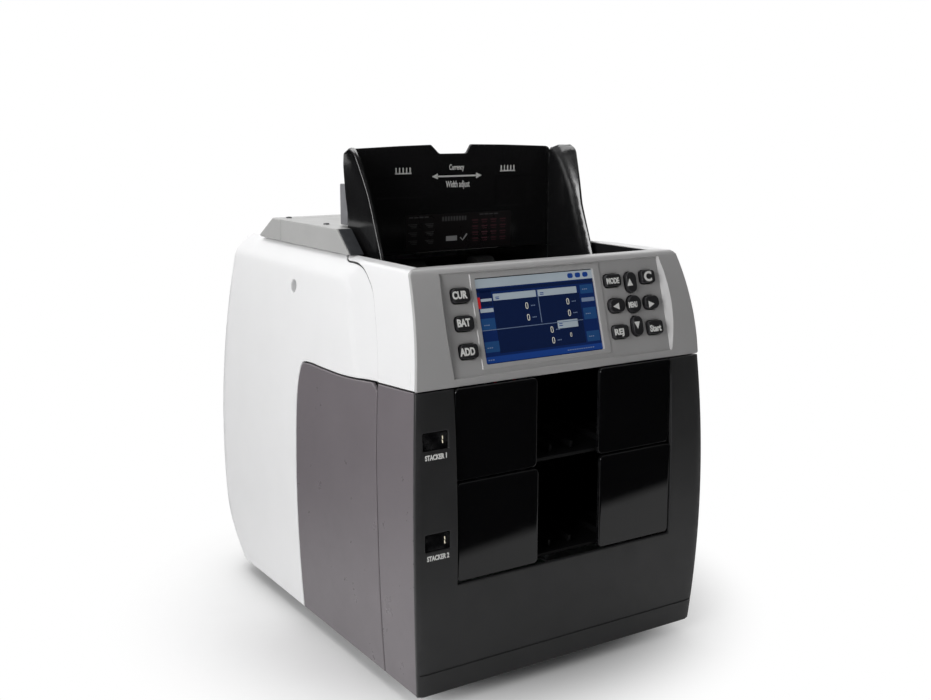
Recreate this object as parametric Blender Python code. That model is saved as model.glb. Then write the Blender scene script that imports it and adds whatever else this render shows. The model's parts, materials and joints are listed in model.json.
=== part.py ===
"""A desktop banknote counting machine with a top hopper and two front stacker pockets.

Metres, +Z up, -Y is the front.  The origin is the middle of the footprint, at the feet.
The casing is barrel shaped: its sides, front and rear all bulge slightly at mid height.
Notes go from the hopper floor under the back plate, past the image sensor, round the
turn roller at the rear and forward again to the diverter gate and the stacker wheels.
"""

import math

import bmesh
import bpy
from mathutils import Matrix, Vector

# Casing
WIDTH = 0.274
DEPTH = 0.392
WALL = 0.003
GAP = 0.0004
SEAM_GAP = 0.0006
SIDE_BULGE_Z = 0.125
SIDE_BULGE_RADIUS = 1.535
REAR_BULGE_Z = 0.115
REAR_BULGE_RADIUS = 0.850
FRONT_BULGE_Z = 0.125
FRONT_BULGE_RADIUS = 1.290
REAR_SWEEP_Z = 0.070
REAR_SWEEP_RADIUS = 0.060
REAR_CORNER = 0.026
LEAST_CORNER = 0.004
RIM_Z = 0.324
RIM_X = 0.110
SHOULDER_Z = 0.020
SHOULDER_X = 0.014
SHOULDER_Y = 0.024
SKIRT_Z = 0.012
SHARP_ANGLE = math.radians(35)
OVERRUN = 0.002
FAR = 0.010

# Feet and base
FOOT_RADIUS = 0.012
FOOT_HEIGHT = 0.0086
FOOT_X = 0.095
FOOT_Y = (-0.150, 0.130)
BASE_X = 0.128
BASE_Y = (-0.186, 0.156)
BASE_Z = (0.009, 0.0116)

# Control panel: its own frame starts at the middle of the bottom edge
PANEL_BOTTOM_Y = -0.1907
PANEL_BOTTOM_Z = 0.2422
PANEL_TILT = math.radians(15.8)
PANEL_SLANT = 0.0852
PANEL_THICK = 0.003
PANEL_LIP_Y = -0.154
UNDER_PANEL_Z = 0.2409
SCREEN_U = (-0.0712, 0.0373)
SCREEN_V = (0.0129, 0.0761)
SCREEN_CORNER = 0.001
BOARD_U = (-0.100, 0.104)
BOARD_V = (0.008, 0.074)
BOARD_W = (-0.0125, -0.0110)
MODULE_BORDER = 0.0024
MODULE_W = (-0.0115, -0.0034)
KEY_PROUD = 0.0026
KEY_DEEP = 0.0030
KEY_CORNER = 0.0030

# Seam between the front module and the side covers: (y, z) from the rim down
SEAM = (
    (-0.0872, 0.3240),
    (-0.0872, 0.3200),
    (-0.1000, 0.3160),
    (-0.1083, 0.3104),
    (-0.1162, 0.3005),
    (-0.1241, 0.2826),
    (-0.1304, 0.2618),
    (-0.1336, 0.2385),
    (-0.1359, 0.1832),
    (-0.1387, 0.1286),
    (-0.1395, 0.0700),
    (-0.1395, SKIRT_Z),
)
# Rear end of the lower side panel, from its top front corner down: (y, z)
LOWER_PANEL_EDGE = (
    (-0.1336, 0.2385),
    (-0.0793, 0.2335),
    (-0.0449, 0.2328),
    (-0.0125, 0.2325),
    (-0.0030, 0.2300),
    (0.0013, 0.2220),
    (0.0048, 0.2061),
    (0.0067, 0.1488),
    (0.0071, SKIRT_Z),
)

# Heights at which the side walls follow the barrel shape
COVER_HEIGHTS = (
    (SKIRT_Z, 0.030, 0.050, 0.070, 0.110, 0.150, 0.190)
    + (0.2061, 0.2220, 0.2300, 0.2325, 0.2335, 0.2385)
    + (0.2618, 0.2826, 0.2950)
)
LOWER_HEIGHTS = (
    (SKIRT_Z, 0.060, 0.110, 0.150, 0.190)
    + (0.2061, 0.2220, 0.2300, 0.2325, 0.2335, 0.2378)
)
WING_HEIGHTS = (PANEL_BOTTOM_Z, 0.2618, 0.2826, 0.2950, 0.3040, 0.3102, 0.3158)
FLANK_HEIGHTS = (SKIRT_Z, 0.060, 0.110, 0.150, 0.190, 0.220, UNDER_PANEL_Z)
REAR_HEIGHTS = (SKIRT_Z, 0.026, 0.040, 0.055, 0.070)

# Front opening and its four glossy plates
OPENING_X = 0.102
PLATE_INNER_X = 0.0295
PLATE_SEAM_Z = 0.172
PLATE_BOTTOM_Z = 0.097
KICK_TOP_Z = 0.0955
BEZEL_HEIGHTS = (SKIRT_Z, 0.040, KICK_TOP_Z, 0.125, 0.155, 0.185, 0.215, UNDER_PANEL_Z)
PLATE_THICK = 0.003
PLATE_CORNER = 0.003
PLATE_SUNK = 0.0015
FRONT_CUT_Y = (-0.21, -0.17)
WINDOW_X = 0.1189
WINDOW_SIZE = (0.0211, 0.0132)
WINDOW_Z = {"upper": 0.2061, "lower": 0.1320}
WINDOW_CORNER = 0.001
WINDOW_SUNK = 0.0005
WINDOW_DEEP = 0.006

# Pocket trays behind the plates: floor at the front and top edge, for each level
TRAY_Z = {"upper": (0.175, 0.238), "lower": (0.0985, 0.168)}
TRAY_Y = (-0.1885, -0.100)
TRAY_X = 0.101
TRAY_SKIN = 0.002
TRAY_RISE = 0.006

# Hopper
WELL_X = 0.1096
WELL_FRONT_Y = -0.1537
WELL_REAR_Y = -0.024
FLOOR_FRONT_Z = 0.296
FLOOR_REAR_Z = 0.2842
BACK_PLATE_Y = (-0.0290, -0.0260)
BACK_PLATE_X = 0.098
BACK_PLATE_Z = (0.318, 0.4075)
BACK_PLATE_CORNER = 0.006
BACK_PLATE_ARCH = ((0.0520, 0.0007), (BACK_PLATE_X, 0.0025))
# Finger notch in the back plate: (x, depth below the top edge)
NOTCH = ((0.0168, 0.0), (0.0122, 0.0075), (-0.0148, 0.0075), (-0.0228, 0.0))
WELL_SKIN = 0.002
ROLLER_SLOT_GAP = 0.001
GUIDE_REAR_X = 0.0965
GUIDE_REAR_Y = -0.0310
GUIDE_CURL = 0.024
GUIDE_THICK = 0.0025
GUIDE_DROOP = 0.18
GUIDE_DROOP_Z = 0.385
GUIDE_STEPS = 6
# Guide outline, from the bottom up: (z, front y, inner x at the front, outer x at the rear)
GUIDE_ROWS = (
    (0.2985, -0.0945, 0.1005, 0.0990),
    (0.3245, -0.0855, 0.1005, 0.1008),
    (0.3570, -0.0730, 0.1005, 0.1032),
    (0.3700, -0.0690, 0.1015, 0.1046),
    (0.3850, -0.0630, 0.1035, 0.1056),
    (0.3950, -0.0585, 0.1050, 0.1060),
    (0.4010, -0.0555, 0.1060, 0.1057),
    (0.4040, -0.0520, 0.1065, 0.1055),
    (0.4058, -0.0465, 0.1065, 0.1053),
)

# Raised cover behind the hopper
RAISED_X = 0.118
RAISED_Z = 0.3434
RAISED_FRONT_Y = (-0.0648, -0.0436)
RAISED_SEAM_Y = 0.0673
RAISED_REAR_Y = (0.1035, 0.1175)
ARM_INNER_X = 0.1057
COVER_SKIN = 0.0025
DOOR_HINGE = (0.1935, 0.1110)
DOOR_BOTTOM_Z = 0.1135
LEDGE_RUN = 0.012
CAP_FOOT_Y = (0.1055, 0.1135)
CAP_FOOT_Z = (0.322, 0.328)
REAR_PANEL_TOP_Z = 0.1080
VENT_COUNT = 9
VENT_PITCH = 0.010
VENT_WIDTH = 0.005
VENT_Z = (0.066, 0.096)
REAR_CUT_Y = (0.18, 0.21)

# Rollers, all turning about X: (y, z, radius)
PICKUP = (-0.090, 0.2784, 0.013)
FEED = (-0.020, 0.2710, 0.015)
RETARD = (-0.016, 0.2986, 0.012)
TURN = (0.120, 0.232, 0.038)
TURN_WHEEL_X = (-0.084, -0.030, 0.030, 0.084)
TURN_WHEEL_HALF = 0.010
STACKER = {"upper": (-0.085, 0.208), "lower": (-0.085, 0.130)}
GATE = (-0.005, 0.190)
MOTOR = (0.060, 0.100)
SHAFT_RADIUS = 0.004
SHAFT_HALF = 0.114
TYRE_X = (0.026, 0.044)
RUNNING_GAP = 0.00015
STACKER_TIP = 0.030
STACKER_HUB = 0.014
STACKER_FINGERS = 8
STACKER_X = (0.016, 0.024)
# One finger of a stacker wheel: (radius, turn)
FINGER = ((STACKER_HUB, 0.0), (STACKER_TIP, 0.62), (STACKER_TIP - 0.002, 0.74), (STACKER_HUB, 0.42))
GATE_HALF_X = 0.095
# Gate wedge seen along X, from its shaft: (y, z)
GATE_OUTLINE = ((-0.004, -0.003), (0.030, -0.0004), (0.030, 0.0004), (-0.004, 0.003))
BELT_X = (-0.124, -0.118)
MOTOR_PULLEY_RADIUS = 0.009
TURN_PULLEY_RADIUS = 0.016
BELT_THICK = 0.0016
BELT_STEPS = 13
MOTOR_RADIUS = 0.024
MOTOR_X = (-0.100, -0.050)
MOTOR_SHAFT_X = -0.1005

# Image sensor, boards and power supply
SENSOR_X = 0.106
SENSOR_Y = (0.015, 0.075)
SENSOR_Z = (0.255, 0.300)
NOTE_PATH_X = 0.098
NOTE_PATH_Z = (0.2755, 0.2815)
MAIN_BOARD = ((-0.095, 0.095), (-0.070, 0.040), (0.018, 0.0196))
POWER_SUPPLY = ((-0.100, -0.010), (0.060, 0.140), (0.014, 0.060))

# Steel side frames
FRAME_X = (0.110, 0.112)
FRAME_OUTLINE = (
    (-0.150, 0.0122),
    (0.140, 0.0122),
    (0.160, 0.040),
    (0.165, 0.250),
    (0.140, 0.300),
    (0.100, 0.315),
    (-0.145, 0.315),
)

# Mains inlet and switch on the rear panel
INLET = (-0.075, 0.078)
INLET_HALF = (0.014, 0.011)
INLET_Y = 0.170
INLET_PROUD = 0.0006
SOCKET_HALF = (0.0115, 0.0080)
SOCKET_Y = 0.178
SWITCH = (-0.040, 0.078)
SWITCH_HALF_X = 0.006
SWITCH_HOLE_HALF = (0.0068, 0.0104)
SWITCH_SUNK = 0.008
# Rocker seen along X, from the pivot: (y, z)
SWITCH_OUTLINE = (
    (-0.003, -0.0078),
    (0.0040, -0.0084),
    (0.0055, 0.0),
    (0.0085, 0.0080),
    (-0.003, 0.0078),
)

ROUND = 24
CORNER_STEPS = 4
SHOULDER_STEPS = 5
SIDES = (("left", -1), ("right", 1))

# Linear colour, roughness and metallic value of each finish
FINISHES = {
    "white_shell": ((0.80, 0.80, 0.80), 0.30, 0.0),
    "light_grey": ((0.45, 0.45, 0.44), 0.45, 0.0),
    "panel_grey": ((0.34, 0.33, 0.33), 0.50, 0.0),
    "side_grey": ((0.13, 0.115, 0.125), 0.35, 0.0),
    "charcoal": ((0.030, 0.030, 0.032), 0.40, 0.0),
    "gloss_black": ((0.006, 0.006, 0.007), 0.08, 0.0),
    "hopper_black": ((0.012, 0.012, 0.013), 0.25, 0.0),
    "key_black": ((0.020, 0.020, 0.022), 0.45, 0.0),
    "steel": ((0.55, 0.56, 0.57), 0.35, 1.0),
    "rubber": ((0.020, 0.020, 0.020), 0.85, 0.0),
    "screen": ((0.010, 0.020, 0.120), 0.12, 0.0),
    "board": ((0.020, 0.110, 0.045), 0.45, 0.0),
    "roller_grey": ((0.18, 0.18, 0.19), 0.55, 0.0),
}


def clear_scene():
    for item in list(bpy.data.objects):
        bpy.data.objects.remove(item)


def half_width(z):
    return WIDTH / 2 - (z - SIDE_BULGE_Z) ** 2 / (2 * SIDE_BULGE_RADIUS)


def rear_y(z):
    sweep = max(0.0, REAR_SWEEP_Z - z) ** 2 / (2 * REAR_SWEEP_RADIUS)
    return DEPTH / 2 - (z - REAR_BULGE_Z) ** 2 / (2 * REAR_BULGE_RADIUS) - sweep


def front_y(z):
    return -DEPTH / 2 + (z - FRONT_BULGE_Z) ** 2 / (2 * FRONT_BULGE_RADIUS)


def panel_y(z):
    return PANEL_BOTTOM_Y + (z - PANEL_BOTTOM_Z) * math.tan(PANEL_TILT)


def along(curve, z):
    """The y at height z on a list of (y, z) points that runs from the top down."""
    if z >= curve[0][1]:
        return curve[0][0]
    for (y0, z0), (y1, z1) in zip(curve, curve[1:]):
        if z1 <= z <= z0 and z0 > z1:
            return y0 + (y1 - y0) * (z0 - z) / (z0 - z1)
    return curve[-1][0]


def panel_matrix():
    """World matrix of the control panel: u to the right, v up the slant, w out of the face."""
    up = Vector((0, math.sin(PANEL_TILT), math.cos(PANEL_TILT)))
    out = Vector((0, -math.cos(PANEL_TILT), math.sin(PANEL_TILT)))
    columns = Matrix((Vector((1, 0, 0)), up, out)).transposed().to_4x4()
    return Matrix.Translation((0, PANEL_BOTTOM_Y, PANEL_BOTTOM_Z)) @ columns


def place(name, points, faces, finish, origin=(0, 0, 0)):
    """Make one object from world points, with its own origin and material."""
    base = Vector(origin)
    shape = bmesh.new()
    verts = [shape.verts.new(Vector(point) - base) for point in points]
    for face in faces:
        shape.faces.new([verts[index] for index in face])
    bmesh.ops.remove_doubles(shape, verts=shape.verts, dist=1e-6)
    bmesh.ops.recalc_face_normals(shape, faces=shape.faces)
    mesh = bpy.data.meshes.new(name)
    shape.to_mesh(mesh)
    shape.free()
    item = bpy.data.objects.new(name, mesh)
    item.location = base
    bpy.context.scene.collection.objects.link(item)
    mesh.shade_smooth()
    mesh.set_sharp_from_angle(angle=SHARP_ANGLE)
    if finish:
        mesh.materials.append(surface(name, finish))
    return item


def surface(name, finish):
    colour, roughness, metallic = FINISHES[finish]
    material = bpy.data.materials.new(name + "_finish")
    material.use_nodes = True
    shader = material.node_tree.nodes["Principled BSDF"]
    shader.inputs["Base Color"].default_value = (*colour, 1)
    shader.inputs["Roughness"].default_value = roughness
    shader.inputs["Metallic"].default_value = metallic
    return material


def prism_parts(outline, low, high, axis):
    """Points and faces of an outline pushed from low to high along an axis."""
    def world(pair, height):
        a, b = pair
        return {"x": (height, a, b), "y": (a, height, b), "z": (a, b, height)}[axis]

    count = len(outline)
    points = [world(pair, low) for pair in outline] + [world(pair, high) for pair in outline]
    faces = [list(range(count)), list(range(2 * count - 1, count - 1, -1))]
    for i in range(count):
        j = (i + 1) % count
        faces.append([i, j, count + j, count + i])
    return points, faces


def prism(name, outline, low, high, axis, finish, origin=(0, 0, 0)):
    points, faces = prism_parts(outline, low, high, axis)
    return place(name, points, faces, finish, origin)


def corners(a, b):
    return [(a[0], b[0]), (a[1], b[0]), (a[1], b[1]), (a[0], b[1])]


def box(name, x, y, z, finish, origin=(0, 0, 0)):
    return prism(name, corners(y, z), *x, "x", finish, origin)


def around(centre, half):
    return (centre - half, centre + half)


def shell(name, outer, inner, finish, origin=(0, 0, 0)):
    """Closed skin between two grids of points with the same rows and columns."""
    rows = len(outer)
    columns = len(outer[0])
    points = [point for grid in (outer, inner) for row in grid for point in row]

    def at(side, i, j):
        return side * rows * columns + i * columns + j

    faces = []
    for i in range(rows - 1):
        for j in range(columns - 1):
            quad = [(i, j), (i + 1, j), (i + 1, j + 1), (i, j + 1)]
            faces.append([at(0, *corner) for corner in quad])
            faces.append([at(1, *corner) for corner in reversed(quad)])
    border = [(0, j) for j in range(columns)]
    border += [(i, columns - 1) for i in range(1, rows)]
    border += [(rows - 1, j) for j in range(columns - 2, -1, -1)]
    border += [(i, 0) for i in range(rows - 2, 0, -1)]
    for a, b in zip(border, border[1:] + border[:1]):
        faces.append([at(0, *a), at(0, *b), at(1, *b), at(1, *a)])
    return place(name, points, faces, finish, origin)


def turned(name, profile, centre, finish):
    """Solid of revolution about the X axis through centre (y, z): profile is (x, radius)."""
    y, z = centre
    points = []
    for x, radius in profile:
        for step in range(ROUND):
            angle = 2 * math.pi * step / ROUND
            points.append((x, y + radius * math.cos(angle), z + radius * math.sin(angle)))
    faces = [list(range(ROUND)), list(range(len(points) - 1, len(points) - ROUND - 1, -1))]
    for ring in range(len(profile) - 1):
        for step in range(ROUND):
            a = ring * ROUND + step
            b = ring * ROUND + (step + 1) % ROUND
            faces.append([a, b, b + ROUND, a + ROUND])
    return place(name, points, faces, finish, (0, y, z))


def combine(item, tool, operation):
    """Cut or join with a helper, which is left out of the model."""
    tool.hide_render = True
    tool.display_type = "WIRE"
    change = item.modifiers.new(tool.name, "BOOLEAN")
    change.operation = operation
    change.object = tool
    change.solver = "EXACT"


def cut(item, tool):
    combine(item, tool, "DIFFERENCE")


def join(item, tool):
    combine(item, tool, "UNION")


def rounded(centre, size, radius, steps=3):
    """Outline of a rectangle with round corners."""
    points = []
    for quarter in range(4):
        sx = (1, -1, -1, 1)[quarter]
        sy = (1, 1, -1, -1)[quarter]
        cx = centre[0] + sx * (size[0] / 2 - radius)
        cy = centre[1] + sy * (size[1] / 2 - radius)
        for step in range(steps + 1):
            angle = math.pi / 2 * (quarter + step / steps)
            points.append((cx + radius * math.cos(angle), cy + radius * math.sin(angle)))
    return points


def spread(low, high, count):
    return [low + (high - low) * step / (count - 1) for step in range(count)]


# ---- base and frames ----


def build_base():
    """Sheet metal base pan on four rubber feet."""
    box("base_pan", (-BASE_X, BASE_X), BASE_Y, BASE_Z, "steel")
    for end, y in zip(("front", "rear"), FOOT_Y):
        for side, sign in SIDES:
            outline = []
            for step in range(ROUND):
                angle = 2 * math.pi * step / ROUND
                x = sign * FOOT_X + FOOT_RADIUS * math.cos(angle)
                outline.append((x, y + FOOT_RADIUS * math.sin(angle)))
            prism(f"foot_{end}_{side}", outline, 0.0, FOOT_HEIGHT, "z", "rubber")


def shaft_axes():
    """Centre and radius of every shaft that runs through the side frames."""
    axes = [(roller[:2], SHAFT_RADIUS) for roller in (PICKUP, FEED, RETARD, TURN)]
    axes += [(centre, SHAFT_RADIUS) for centre in STACKER.values()]
    axes += [(GATE, SHAFT_RADIUS), (MOTOR, SHAFT_RADIUS)]
    return axes


def build_side_frames():
    """Two steel plates that carry every shaft."""
    for side, sign in SIDES:
        low, high = sorted((sign * FRAME_X[0], sign * FRAME_X[1]))
        frame = prism(f"side_frame_{side}", FRAME_OUTLINE, low, high, "x", "steel")
        for number, (centre, radius) in enumerate(shaft_axes()):
            reach = radius + RUNNING_GAP
            drill = turned(
                f"cutter_bearing_{side}_{number}",
                [(low - OVERRUN, reach), (high + OVERRUN, reach)],
                centre,
                None,
            )
            cut(frame, drill)


# ---- casing ----


def corner_path(z, inset_x, inset_y, wall, y_front):
    """Plan outline of a side cover at one height, from its front edge round the rear corner."""
    side = half_width(z) - inset_x - wall
    rear = rear_y(z) - inset_y - wall
    radius = max(LEAST_CORNER, REAR_CORNER - max(inset_x, inset_y) - wall)
    reach = min(1.0, max(0.0, (side - RIM_X) / radius))
    last = math.acos(1 - reach)
    points = [(-side, y_front, z), (-side, (y_front + rear - radius) / 2, z)]
    for step in range(CORNER_STEPS + 1):
        angle = last * step / CORNER_STEPS
        x = -side + radius * (1 - math.cos(angle))
        points.append((x, rear - radius + radius * math.sin(angle), z))
    points.append((-RIM_X, points[-1][1], z))
    return points


def side_cover_grid(wall):
    """Rows of a side cover from its skirt up and over the shoulder to the hopper rim."""
    top = RIM_Z - wall
    shoulder = RIM_Z - SHOULDER_Z
    rows = []
    for z in (*COVER_HEIGHTS, shoulder):
        edge = along(LOWER_PANEL_EDGE, z) if z < LOWER_PANEL_EDGE[0][1] else along(SEAM, z)
        rows.append(corner_path(z, 0, 0, wall, edge + SEAM_GAP))
    for step in range(1, SHOULDER_STEPS):
        angle = math.pi / 2 * step / SHOULDER_STEPS
        z = shoulder + (SHOULDER_Z - wall) * math.sin(angle)
        bend = 1 - math.cos(angle)
        edge = along(SEAM, shoulder + SHOULDER_Z * math.sin(angle)) + SEAM_GAP
        rows.append(corner_path(z, SHOULDER_X * bend, SHOULDER_Y * bend, wall, edge))
    rim = [(-RIM_X, point[1], top) for point in rows[-1]]
    for index, point in enumerate(rim[1:-1], 1):
        rim[index] = (-RIM_X, min(point[1], rim[-1][1]), top)
    rows.append(rim)
    return rows


def mirrored(grid, sign):
    return [[(-sign * x, y, z) for x, y, z in row] for row in grid]


def side_wall(name, sign, heights, edges, finish, thick=WALL):
    """A slab that follows the barrel shape of the side, between two edges given by height."""
    outer = []
    inner = []
    for z in heights:
        y_front, y_rear = edges(z)
        side = half_width(z)
        stops = spread(y_front, y_rear, 3)
        outer.append([(sign * side, y, z) for y in stops])
        inner.append([(sign * (side - thick), y, z) for y in stops])
    return shell(name, outer, inner, finish)


def build_side_covers():
    """White side covers that wrap round the rear corners, and the grey panels under them."""

    def edges(z):
        return along(SEAM, z) + SEAM_GAP, along(LOWER_PANEL_EDGE, z) - GAP

    for side, sign in SIDES:
        outer = mirrored(side_cover_grid(0), sign)
        inner = mirrored(side_cover_grid(WALL), sign)
        shell(f"side_cover_{side}", outer, inner, "white_shell")
        side_wall(f"lower_side_panel_{side}", sign, LOWER_HEIGHTS, edges, "side_grey")


def build_front_wings():
    """White sides of the front module beside the control panel, with their part of the rim."""

    def flank_edges(z):
        return front_y(z) + WALL + GAP, along(SEAM, z) - SEAM_GAP

    for side, sign in SIDES:
        grids = []
        for wall in (0, WALL):
            rows = []
            for z in WING_HEIGHTS:
                x = sign * (half_width(z) - wall)
                start = panel_y(z) + PANEL_THICK + 4 * GAP
                rows.append([(x, start, z), (x, along(SEAM, z) - SEAM_GAP, z)])
            under_lip = RIM_Z - PANEL_THICK - GAP
            x = sign * (half_width(under_lip) - wall)
            start = PANEL_LIP_Y + GAP
            rows.append([(x, start, under_lip), (x, along(SEAM, under_lip) - SEAM_GAP, under_lip)])
            top = RIM_Z - wall
            for x in (half_width(top) - wall, RIM_X):
                start = PANEL_LIP_Y + GAP
                rows.append([(sign * x, start, top), (sign * x, along(SEAM, top) - SEAM_GAP, top)])
            grids.append(rows)
        shell(f"front_wing_{side}", *grids, "white_shell")
        side_wall(f"front_side_panel_{side}", sign, FLANK_HEIGHTS, flank_edges, "side_grey")


def panel_prism(name, outline, low, high, finish):
    """Outline in panel u and v, pushed along the panel's normal, as a world-space object."""
    points, faces = prism_parts(outline, low, high, "z")
    matrix = panel_matrix()
    middle = matrix @ Vector((*map(lambda c: sum(c) / len(c), zip(*outline)), low))
    return place(name, [matrix @ Vector(point) for point in points], faces, finish, middle)


KEYS = {
    "key_cur": (-0.0863, 0.0645, 0.0159, 0.0110, KEY_CORNER),
    "key_bat": (-0.0863, 0.0442, 0.0159, 0.0110, KEY_CORNER),
    "key_add": (-0.0863, 0.0240, 0.0159, 0.0110, KEY_CORNER),
    "key_mode": (0.0558, 0.0654, 0.0173, 0.0110, KEY_CORNER),
    "key_clear": (0.0911, 0.0654, 0.0167, 0.0110, KEY_CORNER),
    "key_up": (0.0733, 0.0624, 0.0116, 0.0162, 0.0057),
    "key_left": (0.0558, 0.0447, 0.0165, 0.0119, 0.0055),
    "key_menu": (0.0733, 0.0449, 0.0140, 0.0140, 0.0069),
    "key_right": (0.0911, 0.0447, 0.0165, 0.0119, 0.0055),
    "key_reject": (0.0558, 0.0247, 0.0173, 0.0114, KEY_CORNER),
    "key_down": (0.0733, 0.0274, 0.0116, 0.0162, 0.0057),
    "key_start": (0.0911, 0.0247, 0.0167, 0.0114, KEY_CORNER),
}


def build_control_panel():
    """Sloping grey panel with its top lip, screen opening and key holes."""
    matrix = panel_matrix()
    grids = []
    for wall in (0, PANEL_THICK):
        rows = []
        for v in (0.0, PANEL_SLANT / 2, PANEL_SLANT - wall):
            point = matrix @ Vector((0, v, -wall))
            side = half_width(point.z)
            rows.append([(-side, point.y, point.z), (side, point.y, point.z)])
        side = half_width(RIM_Z)
        rows.append([(x, PANEL_LIP_Y, RIM_Z - wall) for x in (-side, side)])
        grids.append(rows)
    panel = shell("control_panel", *grids, "panel_grey")
    middle = (sum(SCREEN_U) / 2, sum(SCREEN_V) / 2)
    size = (SCREEN_U[1] - SCREEN_U[0], SCREEN_V[1] - SCREEN_V[0])
    outlines = {"screen": rounded(middle, size, SCREEN_CORNER, 1)}
    for name, (u, v, width, height, corner) in KEYS.items():
        size = (width + 2 * GAP, height + 2 * GAP)
        outlines[name] = rounded((u, v), size, corner + GAP)
    for name, outline in outlines.items():
        cut(panel, panel_prism("cutter_" + name, outline, -FAR, FAR, None))


def build_keys():
    """Twelve push keys that travel along the panel's normal."""
    for name, (u, v, width, height, corner) in KEYS.items():
        outline = rounded((u, v), (width, height), corner)
        panel_prism(name, outline, -KEY_DEEP, KEY_PROUD, "key_black")


def build_display_board():
    """Screen module and key contacts on one board behind the panel."""
    item = panel_prism("display_board", corners(BOARD_U, BOARD_V), *BOARD_W, "screen")
    across = (SCREEN_U[0] - MODULE_BORDER, SCREEN_U[1] + MODULE_BORDER)
    up = (SCREEN_V[0] - MODULE_BORDER, SCREEN_V[1] + MODULE_BORDER)
    join(item, panel_prism("joiner_screen", corners(across, up), *MODULE_W, None))


def build_front_bezel():
    """Charcoal front frame: two columns and the kick panel in one moulding."""
    grids = []
    for wall in (0, WALL):
        rows = []
        for z in BEZEL_HEIGHTS:
            x = half_width(z)
            y = front_y(z) + wall
            rows.append([(-x, y, z), (-OPENING_X, y, z), (OPENING_X, y, z), (x, y, z)])
        grids.append(rows)
    bezel = shell("front_bezel", *grids, "charcoal")
    above = (KICK_TOP_Z, UNDER_PANEL_Z + FAR)
    cut(bezel, box("cutter_opening", around(0, OPENING_X), FRONT_CUT_Y, above, None))
    for level, z in WINDOW_Z.items():
        outline = rounded((-WINDOW_X, z), WINDOW_SIZE, WINDOW_CORNER, 1)
        cut(bezel, prism(f"cutter_window_{level}", outline, *FRONT_CUT_Y, "y", None))
        size = [length - 2 * GAP for length in WINDOW_SIZE]
        outline = rounded((-WINDOW_X, z), size, WINDOW_CORNER - GAP, 1)
        face = front_y(z) + WINDOW_SUNK
        prism(f"count_display_{level}", outline, face, face + WINDOW_DEEP, "y", "gloss_black")


def build_pocket_plates():
    """Four glossy plates in front of the pockets, with a gap for the fingers between them."""
    levels = {
        "upper": (PLATE_SEAM_Z + GAP, UNDER_PANEL_Z),
        "lower": (PLATE_BOTTOM_Z, PLATE_SEAM_Z - GAP),
    }
    for level, (low, high) in levels.items():
        for side, sign in SIDES:
            centre = (sign * (PLATE_INNER_X + OPENING_X - GAP) / 2, (low + high) / 2)
            size = (OPENING_X - GAP - PLATE_INNER_X, high - low)
            face = front_y(centre[1]) + PLATE_SUNK
            prism(
                f"pocket_plate_{level}_{side}",
                rounded(centre, size, PLATE_CORNER),
                face,
                face + PLATE_THICK,
                "y",
                "gloss_black",
            )


def build_top_cover():
    """Raised cover behind the hopper, with an arm along each side of the back plate."""
    front_low, front_high = RAISED_FRONT_Y
    base = RIM_Z + GAP
    slope = (front_high - front_low) / (RAISED_Z - base)
    outline = [
        (front_low, base),
        (RAISED_SEAM_Y, base),
        (RAISED_SEAM_Y, RAISED_Z),
        (front_high, RAISED_Z),
    ]
    cover = prism("top_cover", outline, -RAISED_X, RAISED_X, "x", "light_grey")
    top = RAISED_Z - COVER_SKIN
    rise = top - base
    inside = [
        (front_low + 2 * COVER_SKIN - FAR * slope, base - FAR),
        (RAISED_SEAM_Y + FAR, base - FAR),
        (RAISED_SEAM_Y + FAR, top),
        (front_low + 2 * COVER_SKIN + rise * slope, top),
    ]
    reach = RAISED_X - COVER_SKIN
    cut(cover, prism("cutter_cover_inside", inside, -reach, reach, "x", None))
    ahead = (front_low - FAR, WELL_REAR_Y)
    height = (base - FAR, RAISED_Z + FAR)
    cut(cover, box("cutter_hopper", around(0, ARM_INNER_X), ahead, height, None))


def build_rear_door():
    """Rear access door: rear face, top ledge and the rear end of the raised cover."""
    grids = []
    shoulder = RIM_Z - SHOULDER_Z
    for wall in (0, WALL):
        rows = []
        for z in spread(DOOR_BOTTOM_Z, shoulder, 8):
            rows.append((rear_y(z) - wall, z))
        for step in range(1, SHOULDER_STEPS):
            angle = math.pi / 2 * step / SHOULDER_STEPS
            z = shoulder + (SHOULDER_Z - wall) * math.sin(angle)
            rows.append((rear_y(z) - SHOULDER_Y * (1 - math.cos(angle)) - wall, z))
        rows.append((rows[-1][0] - LEDGE_RUN, RIM_Z - wall))
        rows.append((RAISED_SEAM_Y + GAP, RIM_Z - wall))
        reach = RIM_X - GAP
        grids.append([[(-reach, y, z), (reach, y, z)] for y, z in rows])
    y, z = DOOR_HINGE
    door = shell("rear_door", *grids, "light_grey", (0, y, z))
    front = RAISED_SEAM_Y + GAP
    high_rear, low_rear = RAISED_REAR_Y
    base = RIM_Z + GAP
    outline = [(front, base), (low_rear, base), (high_rear, RAISED_Z), (front, RAISED_Z)]
    cap = prism("joiner_cap", outline, -RAISED_X, RAISED_X, "x", None)
    inside = [
        (front - FAR, base - FAR),
        (low_rear - 2 * COVER_SKIN, base - FAR),
        (low_rear - 2 * COVER_SKIN, base),
        (high_rear - COVER_SKIN, RAISED_Z - COVER_SKIN),
        (front - FAR, RAISED_Z - COVER_SKIN),
    ]
    reach = RAISED_X - COVER_SKIN
    cut(cap, prism("cutter_cap_inside", inside, -reach, reach, "x", None))
    join(door, cap)
    join(door, box("joiner_cap_foot", around(0, RIM_X - GAP), CAP_FOOT_Y, CAP_FOOT_Z, None))


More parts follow.
